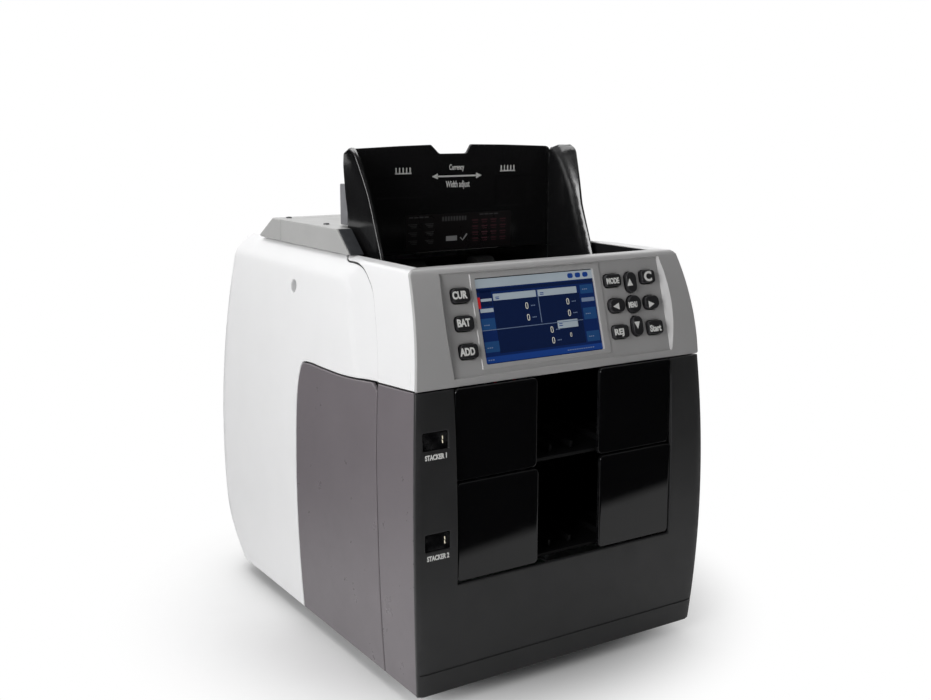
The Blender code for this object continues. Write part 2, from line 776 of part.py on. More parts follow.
def build_rear_panel():
    """Fixed lower rear panel with the mains inlet, the power switch and cooling slots."""
    grids = []
    for wall in (0, WALL):
        rows = []
        for z in (*REAR_HEIGHTS, REAR_PANEL_TOP_Z):
            y = rear_y(z) - wall
            rows.append([(-RIM_X + GAP, y, z), (RIM_X - GAP, y, z)])
        grids.append(rows)
    panel = shell("rear_panel", *grids, "light_grey")
    inlet_hole = [half + GAP for half in INLET_HALF]
    for name, centre, half in (("inlet", INLET, inlet_hole), ("switch", SWITCH, SWITCH_HOLE_HALF)):
        across, up = (around(middle, reach) for middle, reach in zip(centre, half))
        cut(panel, box(f"cutter_{name}", across, REAR_CUT_Y, up, None))
    for number in range(VENT_COUNT):
        low = VENT_PITCH * (number + 1)
        cut(panel, box(f"cutter_vent_{number}", (low, low + VENT_WIDTH), REAR_CUT_Y, VENT_Z, None))


def build_inlet_and_switch():
    """Mains inlet with its open socket, and the rocker that switches the machine on."""
    face = rear_y(INLET[1]) + INLET_PROUD
    across, up = (around(middle, half) for middle, half in zip(INLET, INLET_HALF))
    body = box("mains_inlet", across, (INLET_Y, face), up, "charcoal")
    across, up = (around(middle, half) for middle, half in zip(INLET, SOCKET_HALF))
    cut(body, box("cutter_socket", across, (SOCKET_Y, face + FAR), up, None))
    x, z = SWITCH
    pivot = rear_y(z) - SWITCH_SUNK
    outline = [(pivot + dy, z + dz) for dy, dz in SWITCH_OUTLINE]
    across = around(x, SWITCH_HALF_X)
    prism("power_switch", outline, *across, "x", "gloss_black", (0, pivot, z))


# ---- hopper ----


def build_hopper_tray():
    """Black hopper well with a sloping floor that is slotted for the feed rollers."""
    outline = [
        (WELL_FRONT_Y, RIM_Z - GAP),
        (WELL_FRONT_Y, FLOOR_FRONT_Z - 2 * WELL_SKIN),
        (WELL_REAR_Y, FLOOR_REAR_Z - 2 * WELL_SKIN),
        (WELL_REAR_Y, RIM_Z - GAP),
    ]
    tray = prism("hopper_tray", outline, -WELL_X, WELL_X, "x", "hopper_black")
    front = WELL_FRONT_Y + WELL_SKIN
    slope = (FLOOR_REAR_Z - FLOOR_FRONT_Z) / (WELL_REAR_Y - front)
    inside = [
        (front, RIM_Z + FAR),
        (front, FLOOR_FRONT_Z),
        (WELL_REAR_Y + FAR, FLOOR_REAR_Z + FAR * slope),
        (WELL_REAR_Y + FAR, RIM_Z + FAR),
    ]
    reach = WELL_X - WELL_SKIN
    cut(tray, prism("cutter_well", inside, -reach, reach, "x", None))
    low, high = TYRE_X
    floor = (FLOOR_REAR_Z - FAR, FLOOR_FRONT_Z + WELL_SKIN)
    for side, sign in SIDES:
        x = sorted((sign * (low - ROLLER_SLOT_GAP), sign * (high + ROLLER_SLOT_GAP)))
        y = around(PICKUP[0], PICKUP[2] + ROLLER_SLOT_GAP)
        cut(tray, box(f"cutter_pickup_{side}", x, y, floor, None))
        y = (FEED[0] - FEED[2] - ROLLER_SLOT_GAP, WELL_REAR_Y + FAR)
        cut(tray, box(f"cutter_feed_{side}", x, y, floor, None))


def build_back_plate():
    """Tall plate the notes lean on, arched along the top with a finger notch."""
    low, high = BACK_PLATE_Z
    top = high - BACK_PLATE_ARCH[1][1] - BACK_PLATE_CORNER
    corner = []
    for step in range(CORNER_STEPS + 1):
        angle = math.pi / 2 * step / CORNER_STEPS
        x = BACK_PLATE_X - BACK_PLATE_CORNER * (1 - math.cos(angle))
        corner.append((x, top + BACK_PLATE_CORNER * math.sin(angle)))
    x, drop = BACK_PLATE_ARCH[0]
    corner.append((x, high - drop))
    outline = [(-BACK_PLATE_X, low), (BACK_PLATE_X, low)] + corner
    outline += [(x, high - depth) for x, depth in NOTCH]
    outline += [(-x, z) for x, z in reversed(corner)]
    prism("hopper_back_plate", outline, *BACK_PLATE_Y, "y", "gloss_black")


def build_width_guides():
    """Two guides that slide together along X; the front of each one curls outwards."""
    for side, sign in SIDES:
        grids = ([], [])
        for z, y_front, front_x, outer_x in GUIDE_ROWS:
            droop = GUIDE_DROOP * max(0.0, z - GUIDE_DROOP_Z)
            run = GUIDE_REAR_Y - y_front
            for grid, rear_x, tip_x in (
                (grids[0], GUIDE_REAR_X, front_x),
                (grids[1], outer_x, front_x + GUIDE_THICK),
            ):
                row = []
                for step in range(GUIDE_STEPS + 1):
                    share = (step / GUIDE_STEPS) ** 2
                    curl = max(0.0, 1 - share * run / GUIDE_CURL) ** 2
                    x = rear_x + (tip_x - rear_x) * curl
                    row.append((sign * x, y_front + run * share, z - droop * share))
                grid.append(row)
        shell(f"width_guide_{side}", *grids, "hopper_black")


# ---- mechanism ----


def build_pocket_trays():
    """Two open trays behind the plates: sloping floor, side walls and a slotted back wall."""
    front, back = TRAY_Y
    for level, (low, high) in TRAY_Z.items():
        outline = [(front, low), (back, low + TRAY_RISE), (back, high), (front, high)]
        tray = prism(f"pocket_tray_{level}", outline, -TRAY_X, TRAY_X, "x", "hopper_black")
        wall = back - TRAY_SKIN
        inside = [
            (front - FAR, low + TRAY_SKIN),
            (wall, low + TRAY_RISE + TRAY_SKIN),
            (wall, high + FAR),
            (front - FAR, high + FAR),
        ]
        reach = TRAY_X - TRAY_SKIN
        cut(tray, prism(f"cutter_pocket_{level}", inside, -reach, reach, "x", None))
        slot = around(STACKER[level][1], STACKER_TIP + GAP)
        for side, sign in SIDES:
            x = sorted((sign * (STACKER_X[0] - TRAY_SKIN), sign * (STACKER_X[1] + TRAY_SKIN)))
            name = f"cutter_wheel_slot_{level}_{side}"
            cut(tray, box(name, x, (wall - OVERRUN, back + OVERRUN), slot, None))


def finger_outline(centre):
    """Star of swept-back fingers, as seen along X."""
    points = []
    pitch = 2 * math.pi / STACKER_FINGERS
    for finger in range(STACKER_FINGERS):
        for radius, turn in FINGER:
            angle = finger * pitch + turn
            y = centre[0] + radius * math.cos(angle)
            points.append((y, centre[1] + radius * math.sin(angle)))
    return points


def build_stacker_wheels():
    """One shaft with two finger wheels for each pocket."""
    for level, centre in STACKER.items():
        profile = [(-SHAFT_HALF, SHAFT_RADIUS), (SHAFT_HALF, SHAFT_RADIUS)]
        item = turned(f"stacker_wheels_{level}", profile, centre, "roller_grey")
        for side, sign in SIDES:
            low, high = sorted(sign * x for x in STACKER_X)
            name = f"joiner_wheel_{level}_{side}"
            join(item, prism(name, finger_outline(centre), low, high, "x", None))


def tyred_roller(name, roller, finish):
    """Shaft with two rubber tyres, in one turned solid."""
    radius = roller[2]
    low, high = TYRE_X
    profile = [
        (-SHAFT_HALF, SHAFT_RADIUS),
        (-high, SHAFT_RADIUS),
        (-high, radius),
        (-low, radius),
        (-low, SHAFT_RADIUS),
        (low, SHAFT_RADIUS),
        (low, radius),
        (high, radius),
        (high, SHAFT_RADIUS),
        (SHAFT_HALF, SHAFT_RADIUS),
    ]
    return turned(name, profile, roller[:2], finish)


def build_feed():
    """Pick-up, feed and retard rollers."""
    tyred_roller("pickup_roller", PICKUP, "rubber")
    tyred_roller("feed_roller", FEED, "rubber")
    tyred_roller("retard_roller", RETARD, "rubber")


def build_turn_roller():
    """Four wide wheels at the rear that turn the notes round, with their belt pulley."""
    profile = [
        (BELT_X[0], TURN_PULLEY_RADIUS),
        (BELT_X[1], TURN_PULLEY_RADIUS),
        (BELT_X[1], SHAFT_RADIUS),
    ]
    for middle in TURN_WHEEL_X:
        low, high = middle - TURN_WHEEL_HALF, middle + TURN_WHEEL_HALF
        profile += [(low, SHAFT_RADIUS), (low, TURN[2]), (high, TURN[2]), (high, SHAFT_RADIUS)]
    profile.append((SHAFT_HALF, SHAFT_RADIUS))
    turned("turn_roller", profile, TURN[:2], "roller_grey")


def build_image_sensor():
    """Sensor block with a slot that the notes pass through."""
    body = box("image_sensor", around(0, SENSOR_X), SENSOR_Y, SENSOR_Z, "charcoal")
    through = (SENSOR_Y[0] - FAR, SENSOR_Y[1] + FAR)
    cut(body, box("cutter_note_path", around(0, NOTE_PATH_X), through, NOTE_PATH_Z, None))


def build_diverter_gate():
    """Wedge that sends a note to the upper or the lower pocket."""
    y, z = GATE
    profile = [(-SHAFT_HALF, SHAFT_RADIUS), (SHAFT_HALF, SHAFT_RADIUS)]
    item = turned("diverter_gate", profile, GATE, "steel")
    outline = [(y + dy, z + dz) for dy, dz in GATE_OUTLINE]
    join(item, prism("joiner_wedge", outline, -GATE_HALF_X, GATE_HALF_X, "x", None))


def build_drive():
    """Motor, its pulley and the belt to the turn roller."""
    turned("drive_motor", [(x, MOTOR_RADIUS) for x in MOTOR_X], MOTOR, "steel")
    profile = [
        (BELT_X[0], MOTOR_PULLEY_RADIUS),
        (BELT_X[1], MOTOR_PULLEY_RADIUS),
        (BELT_X[1], SHAFT_RADIUS),
        (MOTOR_SHAFT_X, SHAFT_RADIUS),
    ]
    turned("motor_pulley", profile, MOTOR, "steel")
    outer = belt_path(MOTOR_PULLEY_RADIUS, TURN_PULLEY_RADIUS, GAP + BELT_THICK)
    inner = belt_path(MOTOR_PULLEY_RADIUS, TURN_PULLEY_RADIUS, GAP)
    belt = prism("drive_belt", outer, BELT_X[0] + GAP, BELT_X[1] - GAP, "x", "rubber")
    cut(belt, prism("cutter_belt", inner, BELT_X[0] - FAR, BELT_X[1] + FAR, "x", None))


def belt_path(motor_radius, turn_radius, offset):
    """Outline round both pulleys, each run tangent to the two circles."""
    start = Vector(MOTOR)
    end = Vector(TURN[:2])
    span = end - start
    heading = math.atan2(span.y, span.x)
    lean = math.asin((turn_radius - motor_radius) / span.length)
    points = []
    arcs = (
        (end, turn_radius + offset, heading - math.pi / 2 - lean, heading + math.pi / 2 + lean),
        (start, motor_radius + offset, heading + math.pi / 2 + lean, heading + 1.5 * math.pi - lean),
    )
    for centre, radius, first, last in arcs:
        for angle in spread(first, last, BELT_STEPS):
            points.append(tuple(centre + radius * Vector((math.cos(angle), math.sin(angle)))))
    return points


def build_electronics():
    """Main board and power supply on the base."""
    box("main_board", *MAIN_BOARD, "board")
    box("power_supply", *POWER_SUPPLY, "steel")


def main():
    clear_scene()
    build_base()
    build_side_frames()
    build_side_covers()
    build_front_wings()
    build_control_panel()
    build_keys()
    build_display_board()
    build_front_bezel()
    build_pocket_plates()
    build_top_cover()
    build_rear_door()
    build_rear_panel()
    build_inlet_and_switch()
    build_hopper_tray()
    build_back_plate()
    build_width_guides()
    build_pocket_trays()
    build_stacker_wheels()
    build_feed()
    build_turn_roller()
    build_image_sensor()
    build_diverter_gate()
    build_drive()
    build_electronics()


main()
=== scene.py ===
"""Looks of the banknote counting machine: skins, keys, screen, guides, finishes and studio.

Metres, +Z up, -Y is the front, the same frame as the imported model.  Every skin is a flat
outline (a, b) laid on a curved surface: its edge is rounded over, and its relief is raised
or sunk along the surface's own normal.
"""

import json
import math

import bmesh
import bpy
import numpy as np
from mathutils import Matrix, Vector
from mathutils.geometry import delaunay_2d_cdt

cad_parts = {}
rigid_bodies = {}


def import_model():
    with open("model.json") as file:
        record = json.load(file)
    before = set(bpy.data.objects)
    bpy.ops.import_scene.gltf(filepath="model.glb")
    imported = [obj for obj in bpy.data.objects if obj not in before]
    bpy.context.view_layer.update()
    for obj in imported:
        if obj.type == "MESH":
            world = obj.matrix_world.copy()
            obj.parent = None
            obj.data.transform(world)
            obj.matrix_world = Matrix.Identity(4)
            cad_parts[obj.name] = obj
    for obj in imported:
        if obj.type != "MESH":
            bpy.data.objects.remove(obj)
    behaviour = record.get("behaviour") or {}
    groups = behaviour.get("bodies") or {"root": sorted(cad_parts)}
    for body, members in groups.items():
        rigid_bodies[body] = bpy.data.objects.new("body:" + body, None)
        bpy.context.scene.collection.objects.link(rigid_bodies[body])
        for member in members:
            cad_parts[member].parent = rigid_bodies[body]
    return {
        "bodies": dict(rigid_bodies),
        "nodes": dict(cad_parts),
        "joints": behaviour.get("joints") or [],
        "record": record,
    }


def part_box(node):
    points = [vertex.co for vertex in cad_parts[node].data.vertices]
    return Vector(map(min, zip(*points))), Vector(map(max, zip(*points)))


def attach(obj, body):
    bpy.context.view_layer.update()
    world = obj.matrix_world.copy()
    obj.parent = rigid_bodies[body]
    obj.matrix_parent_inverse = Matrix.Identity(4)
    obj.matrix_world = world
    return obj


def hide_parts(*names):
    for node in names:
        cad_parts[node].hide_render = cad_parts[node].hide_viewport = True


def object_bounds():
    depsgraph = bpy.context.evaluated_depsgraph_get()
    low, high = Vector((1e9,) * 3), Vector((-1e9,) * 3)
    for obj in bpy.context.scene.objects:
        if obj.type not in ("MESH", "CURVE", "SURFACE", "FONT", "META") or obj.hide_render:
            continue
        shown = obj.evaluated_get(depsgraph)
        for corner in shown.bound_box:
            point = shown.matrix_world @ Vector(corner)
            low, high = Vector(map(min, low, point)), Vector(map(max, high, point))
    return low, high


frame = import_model()
CAD_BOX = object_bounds()

# ---- driving dimensions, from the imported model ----

HALF_WIDTH = CAD_BOX[1].x
REAR = CAD_BOX[1].y
FRONT = CAD_BOX[0].y
RIM_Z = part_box("control_panel")[1].z
RIM_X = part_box("side_cover_right")[0].x
SKIRT_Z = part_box("side_cover_right")[0].z
OPENING_X = 0.102
KICK_TOP_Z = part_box("pocket_plate_lower_left")[0].z - 0.0015
UNDER_PANEL_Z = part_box("front_bezel")[1].z
PANEL_BOTTOM_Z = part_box("front_wing_left")[0].z
PANEL_LIP_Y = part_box("control_panel")[1].y
WALL = 0.003
SEAM_GAP = 0.0006

# The barrel shape: each face bulges about its own height
SIDE_BULGE = (0.125, 1.535)
REAR_BULGE = (0.115, 0.850)
FRONT_BULGE = (0.125, 1.290)
REAR_SWEEP = (0.070, 0.060)
REAR_CORNER = 0.026
SHOULDER = Vector((0.014, 0.024, 0.020))
SHOULDER_Z = RIM_Z - SHOULDER.z
# Ahead of the first y the shoulder is a crisp edge; it is full behind the second
SHOULDER_GROWS = (-0.100, -0.062)
CRISP = 0.0025
RIM_RUN = 0.030
RIM_TOP = SHOULDER_Z + RIM_RUN
CORNER_RUN_FROM = 0.100
CORNER_RUN_TO = 0.212

PANEL_BOTTOM_Y = -0.1907
PANEL_TILT = math.radians(15.8)
PANEL_SLANT = 0.0852
SCREEN = ((-0.0712, 0.0373), (0.0129, 0.0761))
SCREEN_FRAME = ((-0.0749, 0.0435), (0.0100, 0.0793))
KEY_FIELD = ((-0.1001, 0.1035), (0.0060, 0.0805))
PICTURE_EDGE = 0.0007
KEY_PROUD = 0.0026
KEY_DEEP = 0.0030
KEY_CROWN = 0.00022
ARROW = ((-0.0027, -0.0027), (0.0031, 0), (-0.0027, 0.0027))

# Seam between the front module and the side covers, from the rim down: (y, height along the side)
SEAM = (
    (-0.0480, RIM_TOP),
    (-0.0600, 0.3235),
    (-0.0705, 0.3225),
    (-0.0865, 0.3205),
    (-0.0950, 0.3185),
    (-0.1020, 0.3155),
    (-0.1090, 0.3105),
    (-0.1145, 0.3055),
    (-0.1190, 0.2975),
    (-0.1240, 0.2835),
    (-0.1290, 0.2660),
    (-0.1325, 0.2480),
    (-0.1336, 0.2385),
    (-0.1359, 0.1832),
    (-0.1387, 0.1286),
    (-0.1395, 0.0700),
    (-0.1395, SKIRT_Z),
)
# Joint between a wing and the grey flank under it: (y, z) at the seam and at the front
SPLIT = ((-0.1336, 0.2383), (-0.1880, 0.2416))
# Edge of the lower side panel, from its top front corner back and down: (y, z)
LOWER_EDGE = (
    (-0.1336, 0.2385),
    (-0.0793, 0.2335),
    (-0.0449, 0.2328),
    (-0.0125, 0.2325),
    (-0.0030, 0.2300),
    (0.0013, 0.2220),
    (0.0048, 0.2061),
    (0.0067, 0.1488),
    (0.0071, SKIRT_Z),
)
WING_BEHIND = 0.0024
SIDES = (("left", -1), ("right", 1))


def half_width(z):
    return HALF_WIDTH - (z - SIDE_BULGE[0]) ** 2 / (2 * SIDE_BULGE[1])


def rear_y(z):
    sweep = np.maximum(0.0, REAR_SWEEP[0] - z) ** 2 / (2 * REAR_SWEEP[1])
    return REAR - (z - REAR_BULGE[0]) ** 2 / (2 * REAR_BULGE[1]) - sweep


def front_y(z):
    return FRONT + (z - FRONT_BULGE[0]) ** 2 / (2 * FRONT_BULGE[1])


def step_up(value, low, high):
    """Smooth step from 0 at low to 1 at high."""
    share = np.clip((value - low) / (high - low), 0.0, 1.0)
    return share * share * (3 - 2 * share)


def window(value, low, high, soft):
    """1 between low and high, falling to 0 over soft outside them."""
    return step_up(value, low - soft, low) * (1 - step_up(value, high, high + soft))


def panel_matrix():
    """Control panel frame: u to the right, v up the slant, w out of the face."""
    up = Vector((0, math.sin(PANEL_TILT), math.cos(PANEL_TILT)))
    out = Vector((0, -math.cos(PANEL_TILT), math.sin(PANEL_TILT)))
    columns = Matrix((Vector((1, 0, 0)), up, out)).transposed().to_4x4()
    return Matrix.Translation((0, PANEL_BOTTOM_Y, PANEL_BOTTOM_Z)) @ columns


def facing_matrix(origin, across, up):
    """Frame at origin with x along across, y along up and z out of that face."""
    x = Vector(across).normalized()
    y = Vector(up).normalized()
    columns = Matrix((x, y, x.cross(y))).transposed().to_4x4()
    return Matrix.Translation(origin) @ columns


# ---- outlines ----


def flowing(points, steps=6):
    """Smooth curve through the points (centripetal Catmull-Rom), ends included."""
    given = [np.array(point, float) for point in points]
    ends = [2 * given[0] - given[1]] + given + [2 * given[-1] - given[-2]]
    curve = []
    for before, start, end, after in zip(ends, ends[1:], ends[2:], ends[3:]):
        knots = [0.0]
        for p, q in ((before, start), (start, end), (end, after)):
            knots.append(knots[-1] + max(1e-9, np.linalg.norm(q - p)) ** 0.5)
        t0, t1, t2, t3 = knots
        for step in range(steps):
            t = t1 + (t2 - t1) * step / steps
            a1 = ((t1 - t) * before + (t - t0) * start) / (t1 - t0)
            a2 = ((t2 - t) * start + (t - t1) * end) / (t2 - t1)
            a3 = ((t3 - t) * end + (t - t2) * after) / (t3 - t2)
            b1 = ((t2 - t) * a1 + (t - t0) * a2) / (t2 - t0)
            b2 = ((t3 - t) * a2 + (t - t1) * a3) / (t3 - t1)
            curve.append(((t2 - t) * b1 + (t - t1) * b2) / (t2 - t1))
    return [tuple(point) for point in curve] + [tuple(given[-1])]


def rounded(points, radius, steps=6, closed=True):
    """Polygon with each corner replaced by an arc; radius is one number or one for each point."""
    count = len(points)
    radii = [radius] * count if isinstance(radius, (int, float)) else list(radius)
    out = []
    for index, (point, r) in enumerate(zip(points, radii)):
        if r <= 0 or (not closed and index in (0, count - 1)):
            out.append(tuple(point))
            continue
        here = Vector(point)
        back = (Vector(points[index - 1]) - here).normalized()
        ahead = (Vector(points[(index + 1) % count]) - here).normalized()
        half = back.angle(ahead) / 2
        if abs(half - math.pi / 2) < 1e-3:
            out.append(tuple(point))
            continue
        reach = r / math.tan(half)
        centre = here + (back + ahead).normalized() * r / math.sin(half)
        first = here + back * reach - centre
        last = here + ahead * reach - centre
        turn = math.atan2(first.x * last.y - first.y * last.x, first.dot(last))
        for step in range(steps + 1):
            angle = turn * step / steps
            c, s = math.cos(angle), math.sin(angle)
            out.append((centre.x + c * first.x - s * first.y, centre.y + s * first.x + c * first.y))
    return out


def rectangle(centre, size, radius=0.0, steps=6):
    x, y = size[0] / 2, size[1] / 2
    corners = [(centre[0] + i * x, centre[1] + j * y) for i, j in ((-1, -1), (1, -1), (1, 1), (-1, 1))]
    return rounded(corners, radius, steps) if radius else corners


def box_outline(low, high, radius, steps):
    """Front view of a box."""
    centre = ((low.x + high.x) / 2, (low.z + high.z) / 2)
    return rectangle(centre, (high.x - low.x, high.z - low.z), radius, steps)


def circle(centre, radius, steps=24):
    turns = [2 * math.pi * step / steps for step in range(steps)]
    return [(centre[0] + radius * math.cos(t), centre[1] + radius * math.sin(t)) for t in turns]


def stroke(points, width):
    """Outline of a line of even width through the points."""
    here = [Vector(point) for point in points]
    left, right = [], []
    for index, point in enumerate(here):
        before = here[max(0, index - 1)]
        after = here[min(len(here) - 1, index + 1)]
        along = (after - before).normalized()
        side = Vector((-along.y, along.x)) * width / 2
        left.append(tuple(point + side))
        right.append(tuple(point - side))
    return right + left[::-1]


def area_of(loop):
    return sum(p[0] * q[1] - q[0] * p[1] for p, q in zip(loop, loop[1:] + loop[:1])) / 2


def turned_way(loop, anticlockwise):
    return list(loop) if (area_of(loop) > 0) == anticlockwise else list(reversed(loop))


def resampled(loop, spacing):
    out = []
    for p, q in zip(loop, loop[1:] + loop[:1]):
        length = math.dist(p, q)
        if length < 1e-7:
            continue
        parts = max(1, math.ceil(length / spacing))
        for part in range(parts):
            share = part / parts
            out.append((p[0] + (q[0] - p[0]) * share, p[1] + (q[1] - p[1]) * share))
    return out


def moved_in(loop, distance):
    """Loop moved to its left by distance, with mitred corners."""
    points = np.array(loop)
    ahead = np.roll(points, -1, 0) - points
    ahead /= np.linalg.norm(ahead, axis=1)[:, None]
    behind = np.roll(ahead, 1, 0)
    normals = np.stack([-ahead[:, 1], ahead[:, 0]], 1)
    before = np.stack([-behind[:, 1], behind[:, 0]], 1)
    mitre = normals + before
    mitre /= np.maximum(0.35, (mitre * normals).sum(1))[:, None]
    return points + mitre * distance


def inside(points, loops):
    """Even-odd test of many points against closed loops."""
    x, y = points[:, 0], points[:, 1]
    odd = np.zeros(len(points), bool)
    for loop in loops:
        for (x0, y0), (x1, y1) in zip(loop, np.roll(loop, -1, 0)):
            if y0 == y1:
                continue
            crossed = (y0 > y) != (y1 > y)
            odd ^= crossed & (x < (x1 - x0) * (y - y0) / (y1 - y0) + x0)
    return odd


def clearance(points, loops):
    """Distance from each point to the nearest side of the loops."""
    best = np.full(len(points), np.inf)
    for loop in loops:
        for start, end in zip(loop, np.roll(loop, -1, 0)):
            span = end - start
            share = np.clip(((points - start) @ span) / max(1e-18, span @ span), 0, 1)
            gap = np.linalg.norm(points - start - share[:, None] * span, axis=1)
            best = np.minimum(best, gap)
    return best


# ---- solids ----


class Solid:
    """Closed bodies gathered into one mesh."""

    def __init__(self):
        self.points = []
        self.faces = []

    def add(self, points, faces):
        start = len(self.points)
        self.points += [tuple(point) for point in points]
        self.faces += [tuple(index + start for index in face) for face in faces]

    def loft(self, rings):
        """Closed body through rings of equally many points, capped at both ends."""
        count = len(rings[0])
        points = [point for ring in rings for point in ring]
        faces = [tuple(range(count)), tuple(range(len(points) - 1, len(points) - count - 1, -1))]
        for ring in range(len(rings) - 1):
            for step in range(count):
                a = ring * count + step
                b = ring * count + (step + 1) % count
                faces.append((a, b, b + count, a + count))
        self.add(points, faces)

    def slab(self, outline, low, high, edge=0.0, matrix=None, both=False):
        """Outline pushed from low to high along the matrix's z, its top edge rounded over."""
        matrix = matrix or Matrix.Identity(4)
        loop = turned_way(outline, True)
        rounding = [(0, edge), (0.3 * edge, 0.3 * edge), (edge, 0)] if edge else [(0, 0)]
        levels = [(inset, low + depth) for inset, depth in rounding[::-1]] if both else [(0, low)]
        levels += [(inset, high - depth) for inset, depth in rounding]
        rings = []
        for inset, height in levels:
            ring = moved_in(loop, inset) if inset else np.array(loop)
            rings.append([matrix @ Vector((x, y, height)) for x, y in ring])
        self.loft(rings)

    def turned(self, profile, matrix, steps=32, lobes=None):
        """Solid of revolution about the matrix's z: profile is (height, radius)."""
        rings = []
        for height, radius in profile:
            ring = []
            for step in range(steps):
                angle = 2 * math.pi * step / steps
                reach = radius * (lobes(angle) if lobes and radius < 0.5 * profile[0][1] else 1)
                ring.append(matrix @ Vector((reach * math.cos(angle), reach * math.sin(angle), height)))
            rings.append(ring)
        self.loft(rings)

    def box(self, low, high, edge=0.0):
        centre = ((low[0] + high[0]) / 2, (low[1] + high[1]) / 2)
        size = (high[0] - low[0], high[1] - low[1])
        self.slab(rectangle(centre, size, 1.2 * edge, 3), low[2], high[2], edge, both=True)



def skin(
    surface,
    outline,
    holes=(),
    thick=WALL,
    fillet=0.001,
    step=(0.007, 0.007),
    relief=None,
    lines=((), ()),
    creases=(),
):
    """Panel on a curved surface, its edges rounded over by fillet.

    surface(a, b) gives points, whose a and b directions cross outwards.  relief(a, b) is
    the height above the surface.  lines are more grid lines, where the relief is fine.
    thick is one number or a function of a and b.  creases are closed loops that the mesh
    follows, where the relief has a sharp bend."""
    loops = [turned_way(outline, True)] + [turned_way(hole, False) for hole in holes]
    loops = [resampled(loop, min(step)) for loop in loops]
    edge_rings = [moved_in(loop, fillet) for loop in loops]
    support = [moved_in(loop, 1.9 * fillet) for loop in loops]
    low, high = np.min(loops[0], 0), np.max(loops[0], 0)
    axes = []
    for k in range(2):
        even = np.arange(low[k], high[k], step[k])
        extra = np.array([value for value in lines[k] if low[k] < value < high[k]])
        if len(extra):
            even = even[np.abs(even[:, None] - extra[None]).min(1) > 0.35 * step[k]]
        axes.append(np.sort(np.concatenate([even, extra])))
    grid = np.stack(np.meshgrid(*axes, indexing="ij"), -1).reshape(-1, 2)
    grid = grid[inside(grid, edge_rings)]
    grid = grid[clearance(grid, support) > 0.8 * fillet + 0.0002]
    grid = grid[inside(grid, support)]
    bends = [np.array(resampled(loop, 0.7 * min(step))) for loop in creases]
    for bend in bends:
        grid = grid[clearance(grid, [bend]) > 0.0003]
    flat = np.concatenate(edge_rings + bends + support + [grid])
    fixed = []
    start = 0
    for ring in edge_rings + bends:
        count = len(ring)
        fixed += [(start + i, start + (i + 1) % count) for i in range(count)]
        start += count
    made = delaunay_2d_cdt([Vector(point) for point in flat], fixed, [], 0, 1e-9)
    spread = np.array([tuple(point) for point in made[0]])
    new_index = {}
    for index, sources in enumerate(made[3]):
        for source in sources:
            new_index[source] = index
    triangles = np.array([face for face in made[2]])
    middles = spread[triangles].mean(1)
    triangles = triangles[inside(middles, edge_rings)]

    def at(pairs, depth):
        a, b = pairs[:, 0], pairs[:, 1]
        depth = depth(a, b) if callable(depth) else np.full(len(a), depth)
        tiny = 1e-5
        here = surface(a, b)
        along_a = surface(a + tiny, b) - surface(a - tiny, b)
        along_b = surface(a, b + tiny) - surface(a, b - tiny)
        normal = np.cross(along_a, along_b)
        normal /= np.linalg.norm(normal, axis=1)[:, None]
        height = relief(a, b) if relief else np.zeros(len(a))
        return here + normal * (height - depth)[:, None]

    count = len(spread)
    points = [at(spread, 0.0), at(spread, thick)]
    faces = [tuple(face) for face in triangles]
    faces += [(a + count, c + count, b + count) for a, b, c in triangles]
    total = 2 * count
    turn = 4
    start = 0
    for loop, ring in zip(loops, edge_rings):
        size = len(loop)
        first = [new_index[start + i] for i in range(size)]
        start += size
        strips = [first]
        for k in range(1, turn + 1):
            angle = math.pi / 2 * k / turn
            points.append(at(moved_in(loop, fillet * (1 - math.sin(angle))), fillet * (1 - math.cos(angle))))
            strips.append(list(range(total, total + size)))
            total += size
        points.append(at(np.array(loop), thick))
        strips.append(list(range(total, total + size)))
        total += size
        strips.append([index + count for index in first])
        for upper, lower in zip(strips, strips[1:]):
            for i in range(size):
                j = (i + 1) % size
                faces.append((upper[i], lower[i], lower[j], upper[j]))
    solid = Solid()
    solid.add(np.concatenate(points), faces)
    return solid


def piece(name, solid, body, finish, replaces=(), sharp=40.0):
    """One object from a solid, riding on a body."""
    mesh = bpy.data.meshes.new(name)
    shape = bmesh.new()
    verts = [shape.verts.new(point) for point in solid.points]
    for face in solid.faces:
        shape.faces.new([verts[index] for index in face])
    bmesh.ops.remove_doubles(shape, verts=shape.verts, dist=1e-7)
    bmesh.ops.recalc_face_normals(shape, faces=shape.faces)
    shape.to_mesh(mesh)
    shape.free()
    mesh.set_sharp_from_angle(angle=math.radians(sharp))
    for polygon in mesh.polygons:
        polygon.use_smooth = len(polygon.vertices) <= 4
    mesh.materials.append(finish)
    item = bpy.data.objects.new(name, mesh)
    bpy.context.scene.collection.objects.link(item)
    weighted = item.modifiers.new("even_shading", "WEIGHTED_NORMAL")
    weighted.keep_sharp = True
    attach(item, body)
    if replaces:
        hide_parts(*replaces)
    return item


BOLD = 0.055


